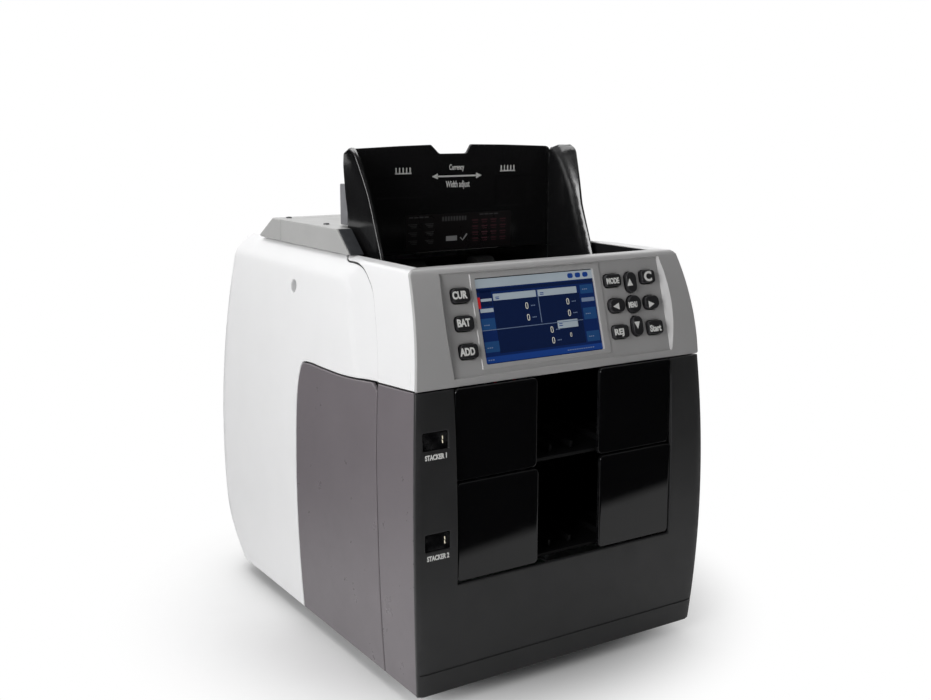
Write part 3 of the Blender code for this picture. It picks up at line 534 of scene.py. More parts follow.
def lettering(name, rows, matrix, body, finish, raised, squeeze, bold=BOLD):
    """Raised printed words: rows are (text, x, y, cap height)."""
    solid = Solid()
    for text, x, y, height in rows:
        words = bpy.data.curves.new(name + "_font", "FONT")
        words.body = text
        words.size = height / 0.70
        words.align_x = "CENTER"
        words.align_y = "CENTER"
        words.extrude = raised / 2
        words.offset = bold * height
        words.resolution_u = 3
        holder = bpy.data.objects.new(name + "_font", words)
        bpy.context.scene.collection.objects.link(holder)
        graph = bpy.context.evaluated_depsgraph_get()
        mesh = bpy.data.meshes.new_from_object(holder.evaluated_get(graph))
        shift = Matrix.Translation((x, y, raised / 2)) @ Matrix.Diagonal((squeeze, 1, 1, 1))
        points = [matrix @ (shift @ v.co) for v in mesh.vertices]
        solid.add(points, [tuple(face.vertices) for face in mesh.polygons])
        bpy.data.objects.remove(holder)
        bpy.data.meshes.remove(mesh)
        bpy.data.curves.remove(words)
    return piece(name, solid, body, finish)


# ---- finishes ----


def add_node(tree, kind, **settings):
    node = tree.nodes.new("ShaderNode" + kind)
    for key, value in settings.items():
        if key in node.inputs:
            node.inputs[key].default_value = value
        else:
            setattr(node, key, value)
    return node


def ramp(tree, source, stops):
    node = add_node(tree, "ValToRGB")
    elements = node.color_ramp.elements
    while len(elements) < len(stops):
        elements.new(0.5)
    for element, (position, colour) in zip(elements, stops):
        element.position = position
        element.color = (*colour, 1)
    tree.links.new(source, node.inputs["Fac"])
    return node.outputs["Color"]


def grey_ramp(tree, source, *stops):
    return ramp(tree, source, [(position, (grey, grey, grey)) for position, grey in stops])


def mapped(tree, source, span, target=(0.0, 1.0), smooth=False):
    """Source with its span taken to the target, and held beyond its ends."""
    node = add_node(tree, "MapRange", interpolation_type="SMOOTHSTEP" if smooth else "LINEAR")
    for name, value in zip(("From Min", "From Max", "To Min", "To Max"), (*span, *target)):
        node.inputs[name].default_value = value
    tree.links.new(source, node.inputs["Value"])
    return node.outputs["Result"]


def combined(tree, operation, first, second):
    node = add_node(tree, "Math", operation=operation)
    tree.links.new(first, node.inputs[0])
    tree.links.new(second, node.inputs[1])
    return node.outputs[0]


def mixed(tree, share, first, second):
    """Shader between two others."""
    node = add_node(tree, "MixShader")
    for socket, source in zip(node.inputs, (share, first, second)):
        tree.links.new(source, socket)
    return node.outputs[0]


def reached(tree, place, way):
    """How far a place lies along a direction."""
    node = add_node(tree, "VectorMath", operation="DOT_PRODUCT")
    node.inputs[1].default_value = way
    tree.links.new(place, node.inputs[0])
    return node.outputs["Value"]


def noise(tree, vector, size, detail, rough=0.5):
    node = add_node(tree, "TexNoise", Scale=size, Detail=detail, Roughness=rough)
    tree.links.new(vector, node.inputs["Vector"])
    return node.outputs["Fac"]


def tinted(colour, factor):
    return tuple(min(1.0, channel * factor) for channel in colour)


def finish(
    name,
    colour,
    roughness,
    metallic=0.0,
    mottle=0.1,
    grain=0.05,
    grain_size=0.0006,
    wear_and_highlight=0.0,
    coat=0.0,
    specular=0.5,
    stretch=(1, 1, 1),
    glow=0.0,
    haze=0.18,
):
    """Moulded or painted surface: slow colour drift, uneven gloss, fine grain, and paler edges that are
    wear, and on the keys and guides also a painted highlight.
    """
    material = bpy.data.materials.new(name)
    material.use_nodes = True
    tree = material.node_tree
    shader = tree.nodes["Principled BSDF"]
    shader.inputs["Metallic"].default_value = metallic
    shader.inputs["Coat Weight"].default_value = coat
    shader.inputs["Coat Roughness"].default_value = 0.06
    shader.inputs["Specular IOR Level"].default_value = specular
    link = tree.links.new
    place = add_node(tree, "TexCoord")
    scaled = add_node(tree, "Mapping")
    scaled.inputs["Scale"].default_value = stretch
    link(place.outputs["Object"], scaled.inputs["Vector"])
    vector = scaled.outputs["Vector"]
    drift = noise(tree, vector, 22.0, 5.0, 0.6)
    shade = ramp(tree, drift, [(0.3, tinted(colour, 1 - mottle)), (0.7, tinted(colour, 1 + mottle))])
    if wear_and_highlight:
        shade = worn_and_highlit_edges(tree, vector, shade, colour, wear_and_highlight)
    link(shade, shader.inputs["Base Color"])
    smear = noise(tree, vector, 55.0, 6.0, 0.65)
    gloss = mapped(tree, smear, (0.3, 0.7), (roughness * (1 - haze), roughness * (1 + haze)))
    link(gloss, shader.inputs["Roughness"])
    bump = add_node(tree, "Bump", Strength=grain, Distance=0.0003)
    link(noise(tree, vector, 1.0 / grain_size, 2.0), bump.inputs["Height"])
    link(bump.outputs["Normal"], shader.inputs["Normal"])
    if glow:
        shader.inputs["Emission Strength"].default_value = glow
        link(shade, shader.inputs["Emission Color"])
    return material


def worn_and_highlit_edges(tree, vector, base, colour, wear_and_highlight):
    """Base colour, paler in patches along the edges: wear, and where it is set high a painted highlight."""
    curve = add_node(tree, "NewGeometry")
    rubbed_and_highlit = grey_ramp(tree, curve.outputs["Pointiness"], (0.52, 0), (0.60, 1))
    patchy = grey_ramp(tree, noise(tree, vector, 160.0, 3.0), (0.40, 0), (0.75, 1))
    paler = add_node(tree, "MixRGB")
    paler.inputs["Color2"].default_value = (*tinted(tuple(c + 0.012 for c in colour), 1 + wear_and_highlight), 1)
    tree.links.new(combined(tree, "MULTIPLY", rubbed_and_highlit, patchy), paler.inputs["Fac"])
    tree.links.new(base, paler.inputs["Color1"])
    return paler.outputs["Color"]


WHITE = finish("white_abs", (0.80, 0.80, 0.805), 0.34, mottle=0.012)
LIGHT_GREY = finish("light_grey_abs", (0.41, 0.41, 0.405), 0.34, mottle=0.03, grain=0.10)
PANEL_GREY = finish("panel_grey_paint", (0.42, 0.415, 0.415), 0.34, mottle=0.02, grain=0.06)
SIDE_GREY = finish("side_grey_satin", (0.154, 0.138, 0.149), 0.32, mottle=0.03, grain=0.06)
CHARCOAL = finish("charcoal_abs", (0.024, 0.024, 0.025), 0.42, mottle=0.08, grain=0.12)
GLOSS = finish("gloss_black_acrylic", (0.0035, 0.0035, 0.004), 0.05, grain=0.006, wear_and_highlight=0.5, haze=0.3)
PLATE = finish("hopper_plate_black", (0.0085, 0.0085, 0.009), 0.16, grain=0.03)
POCKET = finish("pocket_black_abs", (0.0035, 0.0035, 0.004), 0.55, grain=0.10, specular=0.25)
HOPPER = finish("hopper_black_abs", (0.011, 0.011, 0.012), 0.34, grain=0.10, wear_and_highlight=0.8)
# The guides and the keys have high edge wear, which paints the bright highlight line along their edges.
GUIDE = finish("guide_black_satin", (0.007, 0.007, 0.0075), 0.20, grain=0.03, wear_and_highlight=5.0, specular=1.0)
KEYCAP = finish("key_rubber", (0.018, 0.018, 0.020), 0.36, mottle=0.08, grain=0.08, wear_and_highlight=2.2)
SLATE = finish("slate_trim", (0.028, 0.030, 0.034), 0.38, mottle=0.06, grain=0.10, wear_and_highlight=0.4)
PRINT = finish("white_print", (0.78, 0.78, 0.76), 0.50, mottle=0.03)
MID_PRINT = finish("mid_print", (0.50, 0.50, 0.50), 0.50, mottle=0.05)
DIM_PRINT = finish("grey_print", (0.10, 0.10, 0.10), 0.50, mottle=0.15)
RED_PRINT = finish("red_print", (0.090, 0.030, 0.040), 0.50, mottle=0.15)
LABEL = finish("dark_label", (0.0095, 0.0075, 0.0080), 0.30, mottle=0.12)
STEEL = finish("zinc_steel", (0.52, 0.53, 0.54), 0.34, 1.0, wear_and_highlight=0.1, stretch=(1, 1, 6))
ALLOY = finish("turned_alloy", (0.62, 0.62, 0.63), 0.26, 1.0, mottle=0.06, wear_and_highlight=0.1, stretch=(8, 1, 1))
BLACK_STEEL = finish("black_screw", (0.055, 0.055, 0.058), 0.36, 1.0, grain=0.08, wear_and_highlight=1.5)
RUBBER = finish("roller_rubber", (0.022,) * 3, 0.80, mottle=0.15, grain=0.30, grain_size=0.0004, wear_and_highlight=0.6)
ROLLER = finish("roller_grey_nylon", (0.17, 0.17, 0.18), 0.52, mottle=0.06, grain=0.12, wear_and_highlight=0.3)
BOARD_GREEN = (0.016, 0.105, 0.042)
BOARD = finish("board_green", BOARD_GREEN, 0.38, mottle=0.15, grain=0.12, grain_size=0.0012, wear_and_highlight=0.2)
GLASS = finish("screen_glass", (0.002, 0.002, 0.003), 0.07, grain=0.004)
INK_RED = finish("red_lens", (0.35, 0.01, 0.01), 0.12, grain=0.01, wear_and_highlight=0.1)


def lcd(name, colour, strength):
    return finish(name, colour, 0.12, mottle=0.06, grain=0.004, glow=strength, grain_size=0.0008)


NAVY = lcd("lcd_navy", (0.0018, 0.010, 0.055), 0.75)
DEEP = lcd("lcd_deep", (0.0014, 0.006, 0.030), 0.7)
BLUE = lcd("lcd_blue", (0.0066, 0.030, 0.090), 0.9)
BRIGHT = lcd("lcd_bright_blue", (0.0046, 0.023, 0.115), 0.9)
PALE = lcd("lcd_pale", (0.195, 0.227, 0.254), 0.8)
MIST = lcd("lcd_mist", (0.09, 0.12, 0.18), 0.8)
DIGIT = lcd("lcd_digit", (0.36, 0.35, 0.30), 0.8)
RED_TILE = lcd("lcd_red", (0.32, 0.012, 0.014), 0.8)
AMBER = lcd("led_digit", (0.50, 0.46, 0.36), 1.0)


# ---- casing ----


def rim_height(z):
    """Height coordinate of a point z on the upright part of a wing."""
    whole = SHOULDER.z - CRISP + math.pi / 2 * CRISP + half_width(RIM_Z) - CRISP - RIM_X
    return SHOULDER_Z + (z - SHOULDER_Z) * RIM_RUN / whole


def split_z(y):
    (rear, low), (front, high) = SPLIT
    return low + (high - low) * (y - rear) / (front - rear)


SEAM_CURVE = flowing(SEAM)
EDGE_CURVE = flowing(LOWER_EDGE)


def beside(curve, distance):
    """Open curve moved to its left by distance."""
    points = np.array(curve)
    ahead = np.gradient(points, axis=0)
    ahead /= np.linalg.norm(ahead, axis=1)[:, None]
    return [tuple(p) for p in points + np.stack([-ahead[:, 1], ahead[:, 0]], 1) * distance]


FRONT_OF_SEAM = beside(SEAM_CURVE, -SEAM_GAP)
BEHIND_SEAM = beside(SEAM_CURVE, SEAM_GAP)


def casing_surface(sign):
    """Side of the casing: a is y, then the way round the rear corner; b goes up and over."""

    def surface(a, b):
        grown = step_up(a, *SHOULDER_GROWS)
        run_x = CRISP + (SHOULDER.x - CRISP) * grown
        run_z = CRISP + (SHOULDER.z - CRISP) * grown
        upright = SHOULDER.z - run_z
        arc = math.pi / 4 * (run_x + run_z)
        flat = half_width(RIM_Z) - run_x - RIM_X
        run = np.clip((b - SHOULDER_Z) / RIM_RUN, 0, 1) * (upright + arc + flat)
        rise = np.clip((run - upright) / arc, 0, 1) * np.pi / 2
        z = np.minimum(b, SHOULDER_Z) + np.minimum(run, upright) + run_z * np.sin(rise)
        inset = 1 - np.cos(rise)
        side = half_width(z) - run_x * inset - np.maximum(0, run - upright - arc)
        rear = rear_y(z) - SHOULDER.y * inset
        radius = np.maximum(0.004, REAR_CORNER - SHOULDER.y * inset)
        last = np.arccos(1 - np.clip((side - RIM_X) / radius, 0, 1))
        straight = rear - radius - CORNER_RUN_FROM
        tail = np.maximum(0, side - radius * (1 - np.cos(last)) - RIM_X)
        run = (a - CORNER_RUN_FROM) / (CORNER_RUN_TO - CORNER_RUN_FROM) * (straight + radius * last + tail)
        on_corner = np.clip((run - straight) / radius, 0, last)
        past = np.maximum(0, run - straight - radius * last)
        y = np.where(a < CORNER_RUN_FROM, a, CORNER_RUN_FROM + np.minimum(run, straight))
        y = y + radius * np.sin(on_corner)
        x = side - radius * (1 - np.cos(on_corner)) - past
        return np.stack([sign * x, y, z], 1)

    return oriented(surface, sign)


def oriented(surface, sign):
    """The same surface for either side, with a and b crossing outwards."""
    if sign > 0:
        return surface

    def mirrored(a, b):
        return surface(-a, b)

    return mirrored


def on_side(loop, sign):
    return [(sign * a, b) for a, b in loop]


def either_side(relief, sign):
    return (lambda a, b: relief(sign * a, b)) if relief else None


SCREW_HOLE = (0.0215, 0.2913)
SCREW_HOLE_RADIUS = 0.0054
# The cup behind the hole: (depth, radius)
SCREW_CUP = ((-0.0068, 0.0050), (-0.0029, 0.0054), (-0.0029, 0.0063), (-0.0080, 0.0063))
FIELD_PROUD = 0.0012
# Edge of the raised field of the side cover: (y, z)
FIELD_EDGE = (
    (0.1500, 0.3100),
    (0.0485, 0.3090),
    (-0.0510, 0.3090),
    (-0.0650, 0.3086),
    (-0.0780, 0.2960),
    (-0.0820, 0.2810),
    (-0.0950, 0.2500),
    (-0.1080, 0.2200),
)


def build_side_covers():
    """White covers over each side and rear corner, with a hole for a screw."""
    field = np.array(flowing(FIELD_EDGE, 4))

    def relief(a, b):
        """The border along the top and the front dips below the field."""
        line = np.interp(a, field[::-1, 0], field[::-1, 1])
        fade = 1 - step_up(b, RIM_TOP - 0.014, RIM_TOP - 0.003)
        return -FIELD_PROUD * step_up(b - line, -0.001, 0.006) * fade

    for side, sign in SIDES:
        seam = [(y, b) for y, b in BEHIND_SEAM if LOWER_EDGE[0][1] < b < RIM_TOP - 0.001]
        outline = [(CORNER_RUN_TO, RIM_TOP), (seam[0][0], RIM_TOP)] + seam
        outline += beside(EDGE_CURVE, SEAM_GAP) + [(CORNER_RUN_TO, SKIRT_Z)]
        hole = circle(SCREW_HOLE, SCREW_HOLE_RADIUS, 28)
        solid = skin(
            casing_surface(sign),
            on_side(outline, sign),
            [on_side(hole, sign)],
            fillet=0.0009,
            step=(0.005, 0.005),
            relief=either_side(relief, sign),
            lines=((), [0.2930, 0.3050, 0.3075, 0.3100, 0.3125, 0.3150, 0.3175, 0.3200, 0.3225]),
        )
        piece(f"cover_{side}", solid, "chassis", WHITE, [f"side_cover_{side}"])
        y, z = SCREW_HOLE
        mouth = facing_matrix((sign * half_width(z), y, z), (0, sign, 0), (0, 0, 1))
        cup = Solid()
        cup.turned(SCREW_CUP, mouth)
        piece(f"screw_cup_{side}", cup, "chassis", WHITE)
        head = Solid()
        add_screw(head, mouth @ Matrix.Translation((0, 0, -0.0069)), 0.0045)
        piece(f"cover_screw_{side}", head, "chassis", BLACK_STEEL)


def add_screw(solid, matrix, radius):
    """Domed screw head with a six-sided socket, standing on the matrix's plane."""

    def lobes(angle):
        part = (angle % (math.pi / 3)) - math.pi / 6
        return math.cos(math.pi / 6) / math.cos(part)

    r = radius
    profile = [(0.0, r), (0.25 * r, r), (0.40 * r, 0.93 * r), (0.52 * r, 0.75 * r), (0.56 * r, 0.50 * r)]
    profile += [(0.56 * r, 0.46 * r), (0.10 * r, 0.44 * r), (0.08 * r, 0.05 * r)]
    solid.turned(profile, matrix, 24, lobes)


def build_front_wings():
    """White cheeks of the front module, up to the hopper's rim and under the panel's lip."""
    slant = math.tan(PANEL_TILT)

    def front_edge(z):
        """The wing's edge, a little behind the panel's convex face."""
        v = (z - PANEL_BOTTOM_Z) / math.cos(PANEL_TILT)
        fade = 1 - step_up(v, PANEL_SLANT - 0.004, PANEL_SLANT)
        return PANEL_BOTTOM_Y + (z - PANEL_BOTTOM_Z) * slant + WING_BEHIND - panel_bulge(v) * fade

    def relief(a, b):
        """Short parting line low at the front."""
        return -0.0006 * window(a, -0.1812, -0.1806, 0.0004) * (1 - step_up(b, 0.2540, 0.2552))

    lip = PANEL_LIP_Y + 0.0004
    crisp_z = RIM_Z - CRISP
    for side, sign in SIDES:
        seam = [(y, b) for y, b in FRONT_OF_SEAM if split_z(y) + SEAM_GAP < b < RIM_TOP - 0.001]
        outline = [(lip, RIM_TOP), (seam[0][0], RIM_TOP)] + seam
        outline.append((seam[-1][0], split_z(seam[-1][0]) + SEAM_GAP))
        outline.append((front_edge(PANEL_BOTTOM_Z), split_z(front_edge(PANEL_BOTTOM_Z)) + SEAM_GAP))
        outline += [(front_edge(z), z) for z in np.linspace(PANEL_BOTTOM_Z + 0.004, SHOULDER_Z, 14)]
        outline += [(front_edge(z), rim_height(z)) for z in np.linspace(SHOULDER_Z, crisp_z, 6)[1:]]
        outline.append((front_edge(RIM_Z) + 0.0006, rim_height(crisp_z + math.pi / 2 * CRISP)))
        solid = skin(
            casing_surface(sign),
            on_side(outline, sign),
            fillet=0.0006,
            step=(0.004, 0.004),
            relief=either_side(relief, sign),
            lines=(
                [sign * a for a in (-0.1816, -0.1812, -0.1806, -0.1802)],
                [SHOULDER_Z + k * RIM_RUN / 30 for k in range(31)] + [0.2530, 0.2540, 0.2552, 0.2560],
            ),
        )
        piece(f"wing_{side}", solid, "chassis", WHITE, [f"front_wing_{side}"])


def flank_surface(sign):
    def surface(a, b):
        return np.stack([sign * half_width(b), a, b], 1)

    return oriented(surface, sign)


def build_seam_shade_strips():
    """Dark strip deep in the joint between each side cover and the front module: painted shade that stands
    in for the shadow inside the gap.
    """

    def relief(a, b):
        return np.full_like(a, -0.0008)

    for side, sign in SIDES:
        front, rear = (
            [(y, b) for y, b in beside(SEAM_CURVE, gap) if SKIRT_Z + 0.001 < b < RIM_TOP - 0.001]
            for gap in (-0.95 * SEAM_GAP, 0.95 * SEAM_GAP)
        )
        outline = on_side(front + rear[::-1], sign)
        solid = skin(casing_surface(sign), outline, (), 0.0008, 0.0001, (0.003, 0.003), relief)
        piece(f"seam_shade_strip_{side}", solid, "chassis", RUBBER)


def build_side_panels():
    """Satin grey panels low on each side, in front of and behind the seam."""
    for side, sign in SIDES:
        front = [(y, b) for y, b in BEHIND_SEAM if b < LOWER_EDGE[0][1] - SEAM_GAP]
        rear = [point for point in beside(EDGE_CURVE, -SEAM_GAP) if point[0] > front[0][0]]
        outline = rear + front[::-1]
        solid = skin(flank_surface(sign), on_side(outline, sign), fillet=0.0009, step=(0.008, 0.008))
        piece(f"lower_panel_{side}", solid, "chassis", SIDE_GREY, [f"lower_side_panel_{side}"])
        rear = [(y, b) for y, b in FRONT_OF_SEAM if b < split_z(y) - SEAM_GAP]
        column = [(front_y(z) + WALL + 0.0002, z) for z in np.linspace(SKIRT_Z, UNDER_PANEL_Z, 12)]
        outline = [(rear[0][0], split_z(rear[0][0]) - SEAM_GAP)] + rear + column
        solid = skin(flank_surface(sign), on_side(outline, sign), fillet=0.0008, step=(0.008, 0.008))
        piece(f"front_flank_{side}", solid, "chassis", SIDE_GREY, [f"front_side_panel_{side}"])


# ---- control panel ----

# Each key's centre (u, v), width, height and corner radius
KEYS = {
    "cur": (-0.0856, 0.0645, 0.0144, 0.0103, 0.0026),
    "bat": (-0.0857, 0.0442, 0.0144, 0.0103, 0.0026),
    "add": (-0.0855, 0.0240, 0.0144, 0.0103, 0.0026),
    "mode": (0.0545, 0.0651, 0.0148, 0.0096, 0.0024),
    "clear": (0.0900, 0.0655, 0.0136, 0.0100, 0.0024),
    "up": (0.0724, 0.0624, 0.0098, 0.0158, 0.0046),
    "left": (0.0550, 0.0453, 0.0146, 0.0107, 0.0046),
    "menu": (0.0724, 0.0451, 0.0126, 0.0134, 0.0060),
    "right": (0.0901, 0.0450, 0.0140, 0.0104, 0.0046),
    "reject": (0.0550, 0.0246, 0.0145, 0.0099, 0.0024),
    "down": (0.0724, 0.0277, 0.0096, 0.0154, 0.0046),
    "start": (0.0902, 0.0249, 0.0144, 0.0106, 0.0024),
}
# Each legend's text, centre (u, v), cap height and squeeze
LEGENDS = {
    "cur": ("CUR", -0.0877, 0.0645, 0.0053, 0.78),
    "bat": ("BAT", -0.0877, 0.0444, 0.0053, 0.78),
    "add": ("ADD", -0.0878, 0.0235, 0.0053, 0.74),
    "mode": ("MODE", 0.0532, 0.0644, 0.0043, 0.70),
    "clear": ("C", 0.0891, 0.0652, 0.0074, 1.04),
    "reject": ("REJ", 0.0521, 0.0244, 0.0045, 1.10),
    "menu": ("MENU", 0.0696, 0.0443, 0.0042, 0.52),
    "start": ("Start", 0.0890, 0.0238, 0.0050, 0.80),
}
# Each arrow's centre (u, v) and its turn
ARROWS = {
    "up": (0.0700, 0.0622, 90),
    "left": (0.0529, 0.0446, 180),
    "right": (0.0885, 0.0434, 0),
    "down": (0.0710, 0.0282, -90),
}
LIP_RADIUS = 0.0042
FIELD_SUNK = 0.0010
FIELD_STEP = 0.0009
FIELD_WALL = 0.0032
FRAME_SHARE = 0.70
BULGE = 0.0046
BULGE_MIDDLE = 0.0435
BULGE_HALF = 0.0405


def panel_profile():
    """Side view of the panel from its bottom edge up the slant and over the lip: (y, z)."""
    top = PANEL_SLANT
    corner = (PANEL_BOTTOM_Y + top * math.sin(PANEL_TILT), RIM_Z)
    path = rounded([(PANEL_BOTTOM_Y, PANEL_BOTTOM_Z), corner, (PANEL_LIP_Y, RIM_Z)], LIP_RADIUS, 10, False)
    points = np.array(path)
    run = np.concatenate([[0], np.cumsum(np.linalg.norm(np.diff(points, axis=0), axis=1))])
    return run, points


def panel_bulge(v):
    """Height of the convex cheeks above the flat of the keys, at v up the slant."""
    return BULGE * (1 - ((v - BULGE_MIDDLE) / BULGE_HALF) ** 2)


def build_control_panel():
    """Sloping panel: convex face with a flat key field, raised frame round the screen, rounded top lip."""
    run, path = panel_profile()

    def surface(a, b):
        beyond = np.clip(b, run[0], run[-1])
        y = np.interp(beyond, run, path[:, 0])
        z = np.interp(beyond, run, path[:, 1])
        y = y + np.minimum(b - run[0], 0) * math.sin(PANEL_TILT) + np.maximum(b - run[-1], 0)
        z = z + np.minimum(b - run[0], 0) * math.cos(PANEL_TILT)
        return np.stack([a, y, z], 1)

    (left, right), (low, high) = KEY_FIELD
    (frame_left, frame_right), (frame_low, frame_high) = SCREEN_FRAME

    def wall(v):
        """Width of the sloping wall between the field and a cheek."""
        share = np.clip((v - low) / (high - low), 0, 1)
        return FIELD_STEP + FIELD_WALL * 4 * share * (1 - share)

    def relief(u, v):
        west = np.clip((u - left) / wall(v) + 1, 0, 1)
        east = np.clip((right - u) / wall(v) + 1, 0, 1)
        ends = np.clip((v - low) / FIELD_STEP + 1, 0, 1) * np.clip((high - v) / FIELD_STEP + 1, 0, 1)
        frame = window(u, frame_left, frame_right, 0.0005) * window(v, frame_low, frame_high, 0.0005)
        field = west * east * ends
        flat = 1 - step_up(v, PANEL_SLANT - 0.004, PANEL_SLANT)
        over = np.clip(np.abs(u) - half_width(RIM_Z) + CRISP, 0, CRISP)
        rounding = np.sqrt(CRISP**2 - over**2) - CRISP
        lip = step_up(v, PANEL_SLANT - 0.003, PANEL_SLANT + 0.001)
        sunk = FIELD_SUNK * field * (1 - FRAME_SHARE * frame)
        return flat * (panel_bulge(v) * (1 - field) - sunk) + lip * rounding

    side = [(half_width(np.interp(s, run, path[:, 1])), s) for s in np.linspace(0, PANEL_SLANT, 16)]
    side.append((RIM_X + 0.0006, run[-1]))
    half = [0.0016] + [0] * (len(side) - 1)
    outline = rounded(side + [(-x, s) for x, s in side[::-1]], half + half[::-1], 5)
    middle = (sum(SCREEN[0]) / 2, sum(SCREEN[1]) / 2)
    holes = [rectangle(middle, (SCREEN[0][1] - SCREEN[0][0], SCREEN[1][1] - SCREEN[1][0]), 0.0012, 3)]
    for u, v, width, height, corner in KEYS.values():
        holes.append(rectangle((u, v), (width + 0.0012, height + 0.0012), corner + 0.0006, 5))
    heights = np.linspace(low, high, 25)
    foot = [(right, v) for v in heights] + [(left, v) for v in heights[::-1]]
    crest = [(right + wall(v), v) for v in heights[1:-1]] + [(right + FIELD_STEP, high + FIELD_STEP)]
    crest += [(left - FIELD_STEP, high + FIELD_STEP)] + [(left - wall(v), v) for v in heights[-2:0:-1]]
    crest += [(left - FIELD_STEP, low - FIELD_STEP), (right + FIELD_STEP, low - FIELD_STEP)]
    lines_u = [s * (half_width(RIM_Z) - d) for s in (-1, 1) for d in (0.0008, 0.0014, 0.0020, 0.0026)]
    for edge in SCREEN_FRAME[0]:
        lines_u += [edge + d for d in (-0.0006, -0.0003, 0, 0.0003, 0.0006)]
    lines_v = [edge + d for edge in SCREEN_FRAME[1] for d in (-0.0006, -0.0003, 0, 0.0003, 0.0006)]
    lines_v += list(np.linspace(PANEL_SLANT - LIP_RADIUS, PANEL_SLANT + LIP_RADIUS, 9))
    lines = (lines_u, lines_v)
    solid = skin(surface, outline, holes, 0.0028, 0.0006, (0.0035, 0.0035), relief, lines, (foot, crest))
    piece("panel_face", solid, "chassis", PANEL_GREY, ["control_panel"], 24.0)


def build_keys():
    """Moulded keys with a soft crown and a raised white legend on each one."""
    matrix = panel_matrix()
    world = np.array(matrix)

    def face(height):
        def surface(a, b):
            flat = np.stack([a, b, np.full_like(a, height), np.ones_like(a)], 1)
            return (flat @ world.T)[:, :3]

        return surface

    for name, (u, v, width, height, corner) in KEYS.items():
        body = f"key_{name}_body"

        def crown(a, b, u=u, v=v, width=width, height=height):
            reach = ((a - u) / (width / 2)) ** 2 + ((b - v) / (height / 2)) ** 2
            return -KEY_CROWN * reach

        outline = rectangle((u, v), (width, height), corner, 6)
        thick = KEY_DEEP + KEY_PROUD
        solid = skin(face(KEY_PROUD), outline, (), thick, 0.0006, (0.0012, 0.0012), crown)
        piece(f"cap_{name}", solid, body, KEYCAP, [f"key_{name}"])
    on_key = KEY_PROUD - KEY_CROWN
    for name, (u, v, turn) in ARROWS.items():
        mark = Solid()
        place = matrix @ Matrix.Translation((u, v, on_key)) @ Matrix.Rotation(math.radians(turn), 4, "Z")
        mark.slab(rounded(ARROW, 0.0002, 2), 0, 0.0004, 0.00005, place)
        piece(f"legend_{name}", mark, f"key_{name}_body", PRINT)
    for name, (words, u, v, size, squeeze) in LEGENDS.items():
        place = matrix @ Matrix.Translation((u, v, on_key))
        lettering(f"legend_{name}", [(words, 0, 0, size)], place, f"key_{name}_body", PRINT, 0.0004, squeeze)


def screen_matrix(x, y):
    """Frame at a point of the picture, which stops a little short of the opening's edge."""
    (left, right), (low, high) = SCREEN
    u = left + PICTURE_EDGE + x * (1 - 2 * PICTURE_EDGE / (right - left))
    v = low + PICTURE_EDGE + y * (1 - 2 * PICTURE_EDGE / (high - low))
    return panel_matrix() @ Matrix.Translation((u, v, -0.0022))


def screen_tile(solid, low, high, level, radius=0.0004):
    """One flat tile of the picture; the picture's own corner is (0, 0)."""
    centre = ((low[0] + high[0]) / 2, (low[1] + high[1]) / 2)
    size = (high[0] - low[0], high[1] - low[1])
    base = screen_matrix(*centre)
    solid.slab(rectangle((0, 0), size, radius, 2), 0.00002 * level, 0.00002 * level + 0.00004, 0.0, base)


def zero(solid, x, y, height):
    """A narrow figure 0, drawn as a ring of short strokes."""
    ring = rectangle((0, 0), (height * 0.46, height), height * 0.21, 5)
    for start, end in zip(ring, ring[1:] + ring[:1]):
        if math.dist(start, end) > 1e-6:
            solid.slab(stroke([start, end], height * 0.14), 0.00008, 0.00012, 0.0, screen_matrix(x, y))


PICTURE_WIDTH = SCREEN[0][1] - SCREEN[0][0]
PICTURE_HEIGHT = SCREEN[1][1] - SCREEN[1][0]
STATUS_FROM = 0.0565
# Layers of the picture: material, level, and tiles (left, low, right, high) from the picture's corner
PICTURE = {
    "ground": (NAVY, 1, [(0, 0, PICTURE_WIDTH, STATUS_FROM)]),
    "deep": (
        DEEP,
        2,
        [
            (0.0139, 0.0068, 0.0935, 0.0455),
            (0.0, 0.0530, PICTURE_WIDTH, 0.0555),
            (0.0026, 0.0423, 0.0129, 0.0545),
        ],
    ),
    "status": (PALE, 2, [(0, STATUS_FROM, PICTURE_WIDTH, PICTURE_HEIGHT)]),
    "bars": (
        PALE,
        3,
        [
            (0.0144, 0.0462, 0.0529, 0.0512),
            (0.0553, 0.0462, 0.0917, 0.0512),
            (0.0693, 0.0198, 0.0885, 0.0258),
            (0.0030, 0.0462, 0.0127, 0.0482),
            (0.0014, 0.0380, 0.0129, 0.0408),
        ],
    ),
    "tiles": (
        BLUE,
        3,
        [
            (0.0006, 0.0250, 0.0128, 0.0333),
            (0.0010, 0.0080, 0.0134, 0.0159),
            (0.0955, 0.0450, 0.1078, 0.0518),
            (0.0955, 0.0245, 0.1078, 0.0335),
            (0.0955, 0.0070, 0.1078, 0.0150),
        ],
    ),
    "bottom": (BRIGHT, 2, [(0, 0, PICTURE_WIDTH, 0.0046)]),
    "lines": (
        MIST,
        4,
        [
            (0.0545, 0.0262, 0.0551, 0.0512),
            (0.0, 0.0243, 0.0935, 0.0248),
            (0.0955, 0.0385, 0.1078, 0.0415),
        ],
    ),
    "red": (RED_TILE, 4, [(0.0, 0.0412, 0.0024, 0.0495)]),
}
ICONS_X = (0.0852, 0.0925, 0.0998)
# Short marks under the bars, and the figures and captions: (x, y)
TICKS = [(x, y) for x in (0.0160, 0.0568) for y in (0.0484, 0.0472)] + [(0.0705, 0.0232), (0.0705, 0.0216)]
FIGURES = [(x, y) for x in (0.0433, 0.0820) for y in (0.0400, 0.0310)] + [(0.0632, 0.0196), (0.0632, 0.0113)]
CAPTIONS = ((0.0975, 0.0480), (0.0975, 0.0285), (0.0975, 0.0105), (0.0028, 0.0110), (0.0028, 0.0280))


